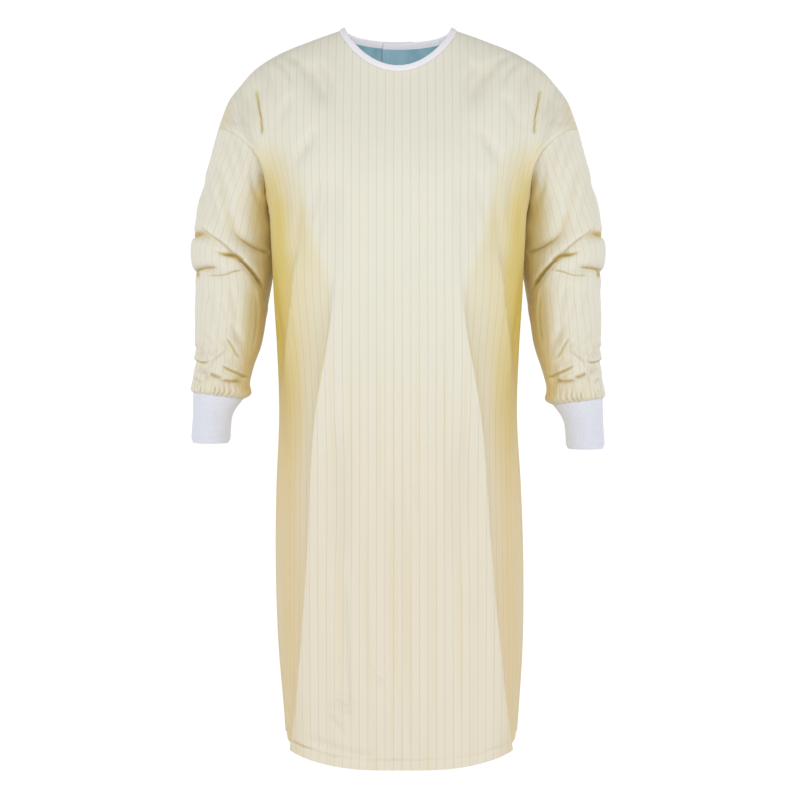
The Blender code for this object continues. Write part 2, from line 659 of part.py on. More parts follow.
def make_studs(upper, under):
    """Press studs through the lap: a cap outside, a socket between the panels, a post inside."""
    steel = material("stud steel", STEEL, 0.35, 1.0)
    upper_column = len(upper[0]) - 2
    under_column = len(under[0]) - 3
    for number, height in enumerate(STUD_HEIGHTS, 1):
        upper_faces = wall_cell(upper[1], upper[2], height, upper_column)
        under_faces = wall_cell(under[1], under[2], height, under_column)
        top, out = upper_faces[0]
        disc(f"press_stud_{number}_cap", top + out * STUD_GAP, out, STUD_CAP_RADIUS, STUD_CAP_RISE, steel)
        over = dropped(top, out, upper_faces[1])
        low = dropped(top, out, under_faces[0])
        low_out = under_faces[0][1]
        room = np.dot(over - low, low_out) - 2 * STUD_GAP
        disc(f"press_stud_{number}_socket", low + low_out * STUD_GAP, low_out, STUD_RING_RADIUS, room, steel)
        inner_out = -under_faces[1][1]
        inside = dropped(top, out, under_faces[1]) + inner_out * STUD_GAP
        disc(f"press_stud_{number}_post", inside, inner_out, STUD_RING_RADIUS, STUD_RING_RISE, steel)


def main():
    for old in list(bpy.data.objects):
        bpy.data.objects.remove(old, do_unlink=True)
    front = make_front()
    backs = {}
    for side, name in ((-1, "back_panel_right"), (1, "back_panel_left")):
        us, grid, normals = back_panel(side)
        solid(name, grid, grid - WALL * normals, False, material(name + " cloth", CREAM, 0.6))
        backs[side] = (us, grid, normals)
    for side, name in ((-1, "right"), (1, "left")):
        make_sleeve(side, "sleeve_" + name)
        make_cuff(side, "cuff_" + name)
    make_binding(front, backs[-1], backs[1])
    make_studs(backs[-1], backs[1])


main()
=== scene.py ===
import math
from collections import namedtuple

import bmesh
import bpy
import numpy as np
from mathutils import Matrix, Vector


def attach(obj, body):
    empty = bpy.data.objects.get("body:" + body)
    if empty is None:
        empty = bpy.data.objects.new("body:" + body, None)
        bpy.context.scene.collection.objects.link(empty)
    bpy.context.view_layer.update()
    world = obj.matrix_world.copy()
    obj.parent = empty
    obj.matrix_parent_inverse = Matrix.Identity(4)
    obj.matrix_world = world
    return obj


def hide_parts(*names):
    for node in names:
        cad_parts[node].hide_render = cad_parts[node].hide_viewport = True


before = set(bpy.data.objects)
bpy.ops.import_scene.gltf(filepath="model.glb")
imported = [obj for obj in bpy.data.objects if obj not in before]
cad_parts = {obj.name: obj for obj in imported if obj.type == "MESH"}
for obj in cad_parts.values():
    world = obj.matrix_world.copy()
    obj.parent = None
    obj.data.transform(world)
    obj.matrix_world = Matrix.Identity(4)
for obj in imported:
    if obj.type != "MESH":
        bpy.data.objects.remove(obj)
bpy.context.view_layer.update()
print("frame loaded")


# Small helpers for curves and vectors

def columnsOf(names, *rows):
    return dict(zip(names.split(), np.array(rows, float).T))


def smoothCurve(x, xs, ys):  # through a table's points
    slope = np.gradient(ys, xs)
    x = np.clip(x, xs[0], xs[-1])
    i = np.clip(np.searchsorted(xs, x) - 1, 0, len(xs) - 2)
    step = xs[i + 1] - xs[i]
    t = (x - xs[i]) / step
    rising = (1 + 2 * t) * (1 - t) ** 2 * ys[i] + t * (1 - t) ** 2 * step * slope[i]
    return rising + t**2 * (3 - 2 * t) * ys[i + 1] - t**2 * (1 - t) * step * slope[i + 1]


def ease(x, low, high):
    t = np.clip((x - low) / (high - low), 0, 1)
    return t * t * (3 - 2 * t)


def unitRows(vectors):
    return vectors / np.maximum(np.linalg.norm(vectors, axis=-1, keepdims=True), 1e-12)


def pointsOf(x, y, z):
    return np.stack(np.broadcast_arrays(x, y, z), axis=-1).astype(float)


def valueNoise(x, y, seed):  # smooth, -1 to 1, the same on each run
    lattice = np.random.default_rng(seed).uniform(-1, 1, (64, 64))
    xi, yi = np.floor(x).astype(int), np.floor(y).astype(int)
    fx, fy = x - xi, y - yi
    fx, fy = fx * fx * (3 - 2 * fx), fy * fy * (3 - 2 * fy)
    a, b = lattice[xi % 64, yi % 64], lattice[(xi + 1) % 64, yi % 64]
    c, d = lattice[xi % 64, (yi + 1) % 64], lattice[(xi + 1) % 64, (yi + 1) % 64]
    return (a * (1 - fx) + b * fx) * (1 - fy) + (c * (1 - fx) + d * fx) * fy


# Shape of the gown, the same as the solids' but on a finer grid

fineness = {  # rows and columns of each grid
    "hemRows": 18, "lowRows": 62, "bodyRows": 188, "yokeRows": 76, "frontHalfColumns": 92, "backColumns": 80,
    "sleeveRows": 194, "sleeveRound": 232, "cuffRows": 40, "cuffRibs": 88, "pointsOnRib": 5,
    "pathSteps": 36,
}

clothCut = {  # in metres, with heights below the neck points
    "wall": 0.0015, "cuffWall": 0.0022, "bindingWall": 0.0026, "seamGap": 0.0003,
    "armpit": -0.262, "hemSide": -1.095, "hemBackDrop": 0.024,
    "shoulderBack": 0.010, "neckShare": 0.375, "ridgeShare": 0.5,
    "lap": 0.026, "lapProbe": 0.06, "underLap": 0.0040, "lapStart": 0.48, "lapFull": 0.10,
    "leftCuffDrop": 0.009, "elbow": 0.190,
}

torsoTable = columnsOf(
    "height halfWidth front back widest squareness centre",
    (-1.130, 0.1775, 0.163, 0.150, -0.008, 2.90, 0.0050),
    (-1.050, 0.1835, 0.163, 0.150, -0.008, 2.70, 0.0050),
    (-0.970, 0.1895, 0.162, 0.149, -0.008, 2.50, 0.0040),
    (-0.850, 0.1927, 0.160, 0.146, -0.008, 2.35, 0.0025),
    (-0.720, 0.1905, 0.156, 0.142, -0.008, 2.25, 0.0010),
    (-0.600, 0.1850, 0.152, 0.137, -0.010, 2.20, 0.0000),
    (-0.500, 0.1880, 0.149, 0.133, -0.014, 2.20, 0.0000),
    (-0.416, 0.1930, 0.147, 0.131, -0.018, 2.20, 0.0000),
    (-0.340, 0.1965, 0.145, 0.130, -0.020, 2.20, 0.0000),
    (-0.290, 0.2000, 0.143, 0.130, -0.014, 2.25, 0.0000),
    (-0.262, 0.2070, 0.141, 0.130, 0.008, 2.30, 0.0000),
)

ridgeTable = columnsOf(  # where the middle column of each half runs
    "height across",
    (-1.130, 0.1610), (-0.960, 0.1440), (-0.819, 0.1330),
    (-0.622, 0.1210), (-0.430, 0.0950), (-0.262, 0.0900),
)

shoulderTable = columnsOf(
    "across height",
    (0.0925, -0.0045), (0.1330, -0.0187), (0.1890, -0.0420), (0.2250, -0.0655),
    (0.2465, -0.0890), (0.2645, -0.1120), (0.2745, -0.1360), (0.2825, -0.1590),
)

NeckEdge = namedtuple("NeckEdge", "halfWidth sideHeight frontY frontHeight backY backHeight")
neckCut = NeckEdge(0.0925, -0.0045, -0.0785, -0.0805, 0.0760, -0.0180)
neckTop = NeckEdge(0.0835, 0.0008, -0.0750, -0.0700, 0.0710, -0.0080)
neckBow = {-1: 0.78, 1: 0.45}  # front and back

sleeveTable = columnsOf(
    "down outerX outerZ innerX innerZ halfDepth middle",
    (0.000, 0.2825, -0.159, 0.2070, -0.262, 0.0710, 0.009),
    (0.045, 0.2975, -0.204, 0.2080, -0.288, 0.0710, 0.030),
    (0.093, 0.3110, -0.250, 0.2005, -0.312, 0.0715, 0.037),
    (0.143, 0.3210, -0.299, 0.1960, -0.340, 0.0710, 0.038),
    (0.190, 0.3275, -0.345, 0.1955, -0.370, 0.0700, 0.036),
    (0.216, 0.3250, -0.371, 0.1970, -0.390, 0.0690, 0.034),
    (0.241, 0.3195, -0.396, 0.2000, -0.412, 0.0670, 0.029),
    (0.286, 0.3185, -0.441, 0.2070, -0.452, 0.0630, 0.017),
    (0.334, 0.3170, -0.489, 0.2145, -0.496, 0.0580, 0.003),
    (0.376, 0.3165, -0.531, 0.2265, -0.535, 0.0520, -0.010),
    (0.398, 0.3190, -0.553, 0.2305, -0.557, 0.0490, -0.017),
    (0.410, 0.3200, -0.563, 0.2290, -0.570, 0.0470, -0.020),
    (0.422, 0.3170, -0.568, 0.2400, -0.5785, 0.0385, -0.023),
)

cuffTable = columnsOf(
    "down outerX outerZ innerX innerZ halfDepth middle",
    (0.000, 0.3170, -0.568, 0.2400, -0.5785, 0.0385, -0.023),
    (0.016, 0.3170, -0.583, 0.2490, -0.5900, 0.0340, -0.027),
    (0.037, 0.3165, -0.603, 0.2560, -0.6050, 0.0305, -0.032),
    (0.058, 0.3175, -0.625, 0.2580, -0.6255, 0.0300, -0.037),
    (0.079, 0.3185, -0.6455, 0.2585, -0.6460, 0.0310, -0.041),
)


def torso(u, height, facing):
    row = {name: smoothCurve(height, torsoTable["height"], torsoTable[name]) for name in torsoTable}
    power = row["squareness"]
    depth = np.where(facing < 0, row["front"] + row["widest"], row["back"] - row["widest"])
    across = smoothCurve(height, ridgeTable["height"], ridgeTable["across"]) / row["halfWidth"]
    fold = np.arctan2(across, (1 - across**power) ** (1 / power))
    share = clothCut["ridgeShare"]
    a = np.abs(u)
    outside = fold + (math.pi / 2 - fold) * (a - share) / (1 - share)
    angle = np.where(a < share, fold * a / share, outside)
    radius = (np.sin(angle) ** power + np.cos(angle) ** power) ** (-1 / power)
    x = row["centre"] + np.sign(u) * row["halfWidth"] * radius * np.sin(angle)
    return pointsOf(x, row["widest"] + facing * depth * radius * np.cos(angle), height)


def neckLine(turn, facing, edge):
    x = edge.halfWidth * np.sin(turn * math.pi / 2)
    yEnd = edge.frontY if facing < 0 else edge.backY
    zEnd = edge.frontHeight if facing < 0 else edge.backHeight
    low = np.maximum(0, 1 - (x / edge.halfWidth) ** 2) ** neckBow[facing]
    return pointsOf(x, yEnd * np.cos(turn * math.pi / 2), edge.sideHeight + (zEnd - edge.sideHeight) * low)


def shoulderAlong():
    steps = np.hypot(np.diff(shoulderTable["across"]), np.diff(shoulderTable["height"]))
    return np.concatenate([[0], np.cumsum(steps)])


def shoulderLine(share):
    along = shoulderAlong()
    at = share * along[-1]
    x = smoothCurve(at, along, shoulderTable["across"])
    return pointsOf(x, clothCut["shoulderBack"] * share, smoothCurve(at, along, shoulderTable["height"]))


def mirrored(vectors, u):
    return vectors * pointsOf(np.where(u < 0, -1, 1), 1, 1)


def yoke(u, g, facing):  # g is 0 at the armpit and 1 on the neck and shoulder line
    share = clothCut["neckShare"]
    a = np.abs(u)
    low = torso(u, np.full_like(u, clothCut["armpit"]), facing)
    below = torso(u, np.full_like(u, clothCut["armpit"] - 0.02), facing)
    turn = np.clip(u / share, -1, 1)
    onNeck = neckLine(turn, facing, neckCut)
    onShoulder = mirrored(shoulderLine(np.clip((a - share) / (1 - share), 0, 1)), u)
    top = np.where((a < share)[..., None], onNeck, onShoulder)
    rise = (top - low)[..., 2:]
    deep = np.abs((top - low)[..., 1:2])
    seamLow = mirrored(pointsOf(-0.03, facing * 0.28, -facing * 0.05 + 0.15 * (facing < 0)), u)
    atSeam = ease(a, 0.70, 1)[..., None]
    start = unitRows(low - below) * rise * (1 - atSeam) + seamLow * atSeam
    toNeck = unitRows(neckLine(turn, facing, neckTop) - onNeck) * rise
    pastNeck = ease(a, 0.35 * share, 2.1 * share)[..., None]
    over = pointsOf(0, -facing, 0) * deep * 1.75
    finish = toNeck * (1 - pastNeck) + over * pastNeck
    seamHigh = mirrored(pointsOf(0.05 * (facing < 0), -facing * 0.28, 0), u)
    finish = finish * (1 - atSeam) + seamHigh * atSeam
    g = g[..., None]
    rising = (1 + 2 * g) * (1 - g) ** 2 * low + g * (1 - g) ** 2 * start
    return rising + g**2 * (3 - 2 * g) * top - g**2 * (1 - g) * finish


hemFront = columnsOf(  # how far the front hem hangs below the side seam's end
    "u drop",
    (0.00, 0.0320), (0.20, 0.0307), (0.30, 0.0270), (0.40, 0.0203), (0.50, 0.0108),
    (0.60, 0.0072), (0.70, 0.0046), (0.80, 0.0024), (0.90, 0.0008), (1.00, 0.0000),
)


def hemHeight(u, facing):
    if facing > 0:
        return clothCut["hemSide"] - clothCut["hemBackDrop"] * np.cos(u * math.pi / 2) ** 1.5
    return clothCut["hemSide"] - smoothCurve(np.abs(u), hemFront["u"], hemFront["drop"])


def bodySteps():  # closer together over the turned hem and the small creases above it
    hem = np.linspace(0, 0.028, fineness["hemRows"])
    low = np.linspace(0.028, 0.20, fineness["lowRows"] + 1)[1:]
    above = np.linspace(0.20, 1, fineness["bodyRows"] - fineness["hemRows"] - fineness["lowRows"] + 2)
    return np.concatenate([hem, low, above[1:-1]])


def panelSurface(us, facing):
    rows = []
    for u, step in zip(us, bodySteps()):
        hem = hemHeight(u, facing)
        rows.append(torso(u, hem + (clothCut["armpit"] - hem) * step, facing))
    for u, g in zip(us[fineness["bodyRows"]:], np.linspace(0, 1, fineness["yokeRows"] + 1)):
        rows.append(yoke(u, np.full_like(u, g), facing))
    return relaxed(np.array(rows), us)


def relaxed(grid, us):  # evens out the kink below each neck point
    first = len(grid) - fineness["yokeRows"] - 1
    above = slice(first, len(grid))
    g = np.linspace(0, 1, fineness["yokeRows"] + 1)[:, None]
    sideways = np.abs(us[first:][:, 1:-1])
    nearNeck = np.exp(-(((sideways - clothCut["neckShare"]) / 0.16) ** 2))
    amount = (0.5 * nearNeck * ease(1 - g, 0, 0.16) * ease(g, 0, 0.2))[..., None]
    for _ in range(110):
        middle = (grid[above, :-2] + grid[above, 2:]) / 2
        grid[above, 1:-1] += amount * (middle - grid[above, 1:-1])
    return grid


def armholeRing(side, count):
    g = np.linspace(0, 1, count // 2 + 1)
    us = np.full_like(g, side)
    return np.concatenate([yoke(us, g, -1), yoke(us, g, 1)[::-1][1:-1]])


def tubeRing(rows, down, side, drop, count):
    row = {name: smoothCurve(down, rows["down"], rows[name]) for name in rows}
    outer = pointsOf(side * row["outerX"], row["middle"], row["outerZ"] - drop)
    inner = pointsOf(side * row["innerX"], row["middle"], row["innerZ"] - drop)
    turn = np.arange(count) * 2 * math.pi / count
    across = np.cos(turn)[:, None] * (inner - outer) / 2
    return (inner + outer) / 2 + across + pointsOf(0, -np.sin(turn) * row["halfDepth"], 0)


def sleeveDowns():  # closer together at the elbow and above the cuff
    length = sleeveTable["down"][-1]
    along = np.linspace(0, length, 400)
    dense = 1 + 1.5 * ease(along, 0.10, 0.14) * (1 - ease(along, 0.24, 0.28)) + 1.2 * ease(along, 0.31, 0.34)
    total = np.concatenate([[0], np.cumsum((dense[1:] + dense[:-1]) / 2)])
    return np.interp(np.linspace(0, total[-1], fineness["sleeveRows"] + 1), total, along)


def sleeveSurface(side):
    length = sleeveTable["down"][-1]
    hole = armholeRing(side, fineness["sleeveRound"])
    start = tubeRing(sleeveTable, 0, side, 0, len(hole))
    rings = []
    for down in sleeveDowns():
        drop = clothCut["leftCuffDrop"] * ease(down, clothCut["elbow"], length) if side > 0 else 0
        ring = tubeRing(sleeveTable, down, side, drop, len(hole))
        rings.append(ring + (hole - start) * (1 - ease(down, 0, 0.10)))
    return np.array(rings)


def tubeNormals(grid):
    across = np.roll(grid, -1, axis=1) - np.roll(grid, 1, axis=1)
    normals = unitRows(np.cross(np.gradient(grid, axis=0), across))
    away = grid - grid.mean(axis=1, keepdims=True)
    return normals * np.sign((normals * away).sum())


def panelNormals(grid, facing):
    normals = unitRows(np.cross(np.gradient(grid, axis=0), np.gradient(grid, axis=1)))
    return normals * np.sign(normals[..., 1].sum() * facing)


def armholeNormals(side, count):
    turn = np.arange(count) * 2 * math.pi / count
    bottom = (1 + np.cos(turn))[:, None] * pointsOf(0, 0, -1)
    top = (1 - np.cos(turn))[:, None] * pointsOf(side * 0.93, 0, 0.37)
    return unitRows(bottom + top + 2 * np.sin(turn)[:, None] * pointsOf(0, -1, 0))


# Creases listed one by one, as seen from the front or from behind, in metres.
# Side 0 is both sides; rise is the height on the path, recess the step down past it; power 2 is a
# soft rounded profile and 1.2 a crisp one; dark is how much of the fold's own shade lies in it.
Crease = namedtuple("Crease", "side rise recess inner outer beyond fadeIn fadeOut power dark path")


foldShade = {"trough": 26.0, "crisp": 70.0, "narrow": 0.008, "narrowPower": 1.3, "soft": 0.50, "deep": 0.38}


def trough(side, deep, width, fadeIn, fadeOut, *path):  # narrow ones hold more shade
    dark = foldShade["trough"] * deep * min(1, foldShade["narrow"] / width) ** foldShade["narrowPower"]
    return Crease(side, -deep, 0.0, width, width, width, fadeIn, fadeOut, 2.0, dark, path)


def crisp(side, deep, width, fadeIn, fadeOut, *path):
    dark = foldShade["crisp"] * deep
    return Crease(side, -deep, 0.0, width, width, width, fadeIn, fadeOut, 1.25, dark, path)


longRidge = (
    (0.090, -0.370), (0.098, -0.450), (0.121, -0.622), (0.133, -0.819), (0.144, -0.960), (0.161, -1.130),
)
backRidge = ((0.100, -0.380), (0.119, -0.600), (0.133, -0.819), (0.144, -0.960), (0.161, -1.130))
frontCreases = (
    Crease(0, 0.010, 0.004, 0.026, 0.0050, 0.055, 0.22, 0.00, 1.8, 0.60, longRidge),
    Crease(0, 0.000, 0.011, 0.026, 0.0050, 0.055, 0.22, 0.50, 1.8, 0.0, longRidge),  # deeper above the hem
    Crease(0, 0.005, 0.012, 0.016, 0.0042, 0.036, 0.25, 0.45, 1.7, 0.60,  # fold below the arm
           ((0.149, -0.340), (0.161, -0.435), (0.1735, -0.525), (0.1750, -0.590))),
    Crease(0, 0.004, 0.006, 0.022, 0.014, 0.045, 0.35, 0.45, 2.0, 0.0,  # where the body meets the arm
           ((0.196, -0.075), (0.207, -0.150), (0.206, -0.200), (0.201, -0.245))),
    trough(0, 0.0050, 0.018, 0.35, 0.45, (0.145, -0.055), (0.124, -0.100), (0.106, -0.145)),
    trough(0, 0.0036, 0.012, 0.30, 0.45, (0.088, -0.220), (0.096, -0.330), (0.099, -0.440)),
    trough(0, 0.0050, 0.020, 0.30, 0.40, (0.091, -0.600), (0.090, -0.740), (0.088, -0.880)),
    trough(0, 0.0034, 0.008, 0.35, 0.45, (0.146, -0.048), (0.127, -0.085), (0.108, -0.130)),
    trough(0, 0.0030, 0.007, 0.35, 0.45, (0.124, -0.052), (0.108, -0.085), (0.098, -0.120)),
    trough(0, 0.0034, 0.008, 0.35, 0.45, (0.160, -0.105), (0.174, -0.138), (0.187, -0.172)),
    trough(0, 0.0040, 0.009, 0.35, 0.45, (0.129, -0.180), (0.145, -0.205), (0.160, -0.236)),
    trough(0, 0.0032, 0.008, 0.35, 0.45, (0.120, -0.165), (0.136, -0.190), (0.154, -0.218)),
    trough(0, 0.0040, 0.008, 0.35, 0.45, (0.112, -0.232), (0.125, -0.285), (0.137, -0.345)),
    trough(0, 0.0036, 0.007, 0.35, 0.45, (0.102, -0.240), (0.114, -0.310), (0.121, -0.385)),
    trough(0, 0.0030, 0.007, 0.35, 0.45, (0.138, -0.255), (0.151, -0.320), (0.156, -0.390)),
    trough(0, 0.0028, 0.007, 0.35, 0.45, (0.172, -0.225), (0.168, -0.280), (0.162, -0.330)),
    Crease(0, -0.0036, 0.0, 0.0026, 0.0026, 0.0026, 0.20, 0.12, 1.4, 0.50,  # slit
           ((0.2240, -0.088), (0.2150, -0.124), (0.2095, -0.150), (0.2075, -0.178))),
    trough(0, 0.0028, 0.007, 0.3, 0.3, (0.236, -0.098), (0.240, -0.130), (0.231, -0.160)),
    trough(0, 0.0024, 0.008, 0.3, 0.3, (0.253, -0.112), (0.256, -0.138), (0.247, -0.162)),
    trough(0, 0.0034, 0.006, 0.25, 0.35, (0.206, -0.060), (0.190, -0.105), (0.186, -0.150)),
    trough(0, 0.0030, 0.005, 0.25, 0.35, (0.190, -0.052), (0.168, -0.078), (0.160, -0.112)),
    trough(0, 0.0028, 0.006, 0.25, 0.40, (0.172, -0.044), (0.150, -0.062), (0.138, -0.090)),
    trough(0, 0.0030, 0.005, 0.25, 0.35, (0.244, -0.086), (0.232, -0.118), (0.222, -0.148)),
    Crease(0, 0.0018, 0.0014, 0.012, 0.004, 0.012, 0.3, 0.4, 1.5, 0.10,
           ((0.200, -0.050), (0.172, -0.088), (0.158, -0.122))),
    trough(-1, 0.0030, 0.009, 0.3, 0.3, (0.092, -0.590), (0.091, -0.730), (0.089, -0.850)),
    trough(1, 0.0030, 0.011, 0.3, 0.3, (0.096, -0.590), (0.101, -0.700), (0.106, -0.800)),
    Crease(-1, 0.0034, 0.0024, 0.010, 0.0040, 0.012, 0.2, 0.3, 1.4, 0.08,
           ((0.076, -0.830), (0.074, -0.950), (0.071, -1.085))),
    Crease(-1, 0.0030, 0.0030, 0.006, 0.0032, 0.009, 0.15, 0.25, 1.6, 0.12,
           ((0.070, -1.041), (0.086, -1.032), (0.104, -1.022))),
    Crease(-1, 0.0022, 0.0022, 0.005, 0.0030, 0.008, 0.2, 0.3, 1.6, 0.09,
           ((0.022, -1.001), (0.036, -0.990), (0.050, -0.981))),
    Crease(-1, 0.0016, 0.0018, 0.005, 0.0030, 0.008, 0.2, 0.3, 1.6, 0.07,
           ((0.036, -0.984), (0.046, -0.976), (0.058, -0.970))),
    trough(-1, 0.0022, 0.0050, 0.2, 0.3, (0.110, -1.046), (0.094, -1.064), (0.080, -1.078)),
    trough(-1, 0.0024, 0.0060, 0.2, 0.3, (0.146, -1.080), (0.096, -1.096), (0.030, -1.110)),
    trough(-1, 0.0020, 0.0050, 0.3, 0.3, (0.028, -0.712), (0.012, -0.735), (0.004, -0.765)),
    trough(1, 0.0012, 0.0060, 0.3, 0.3, (0.010, -0.690), (0.022, -0.715), (0.030, -0.760)),
)
backCreases = (
    Crease(0, 0.009, 0.004, 0.030, 0.0065, 0.055, 0.25, 0.00, 1.8, 0.45, backRidge),
    Crease(0, 0.000, 0.007, 0.030, 0.0065, 0.055, 0.25, 0.50, 1.8, 0.0, backRidge),
    Crease(0, 0.004, 0.008, 0.024, 0.013, 0.045, 0.35, 0.45, 2.0, 0.0,
           ((0.190, -0.090), (0.205, -0.160), (0.204, -0.205), (0.200, -0.245))),
    trough(-1, 0.006, 0.024, 0.35, 0.40, (0.120, -0.070), (0.112, -0.180), (0.118, -0.330)),
    trough(1, 0.005, 0.024, 0.35, 0.40, (0.128, -0.090), (0.104, -0.210), (0.108, -0.300)),
    trough(1, 0.005, 0.026, 0.30, 0.30, (0.070, -0.480), (0.078, -0.700), (0.074, -0.920)),
    trough(-1, 0.004, 0.026, 0.30, 0.30, (0.084, -0.620), (0.080, -0.800), (0.088, -1.000)),
    trough(-1, 0.0034, 0.008, 0.3, 0.4, (0.150, -0.060), (0.128, -0.100), (0.116, -0.150)),
    trough(1, 0.0034, 0.008, 0.3, 0.4, (0.158, -0.070), (0.136, -0.120), (0.128, -0.170)),
    trough(-1, 0.0034, 0.008, 0.3, 0.4, (0.180, -0.190), (0.160, -0.250), (0.150, -0.340)),
    trough(1, 0.0034, 0.009, 0.3, 0.4, (0.176, -0.200), (0.158, -0.260), (0.146, -0.330)),
    trough(-1, 0.0028, 0.008, 0.3, 0.4, (0.130, -0.240), (0.128, -0.330), (0.132, -0.430)),
    trough(1, 0.0028, 0.007, 0.3, 0.4, (0.118, -0.260), (0.122, -0.340), (0.128, -0.460)),
    trough(-1, 0.0030, 0.008, 0.3, 0.4, (0.226, -0.100), (0.222, -0.130), (0.212, -0.170)),
    trough(1, 0.0026, 0.007, 0.3, 0.4, (0.230, -0.096), (0.226, -0.130), (0.216, -0.165)),
    Crease(-1, 0.0020, 0.0020, 0.006, 0.003, 0.008, 0.2, 0.3, 1.5, 0.24,
           ((0.072, -1.052), (0.100, -1.040), (0.120, -1.030))),
    Crease(1, 0.0018, 0.0018, 0.006, 0.003, 0.008, 0.2, 0.3, 1.5, 0.20,
           ((0.040, -1.020), (0.052, -1.006), (0.070, -0.996))),
)
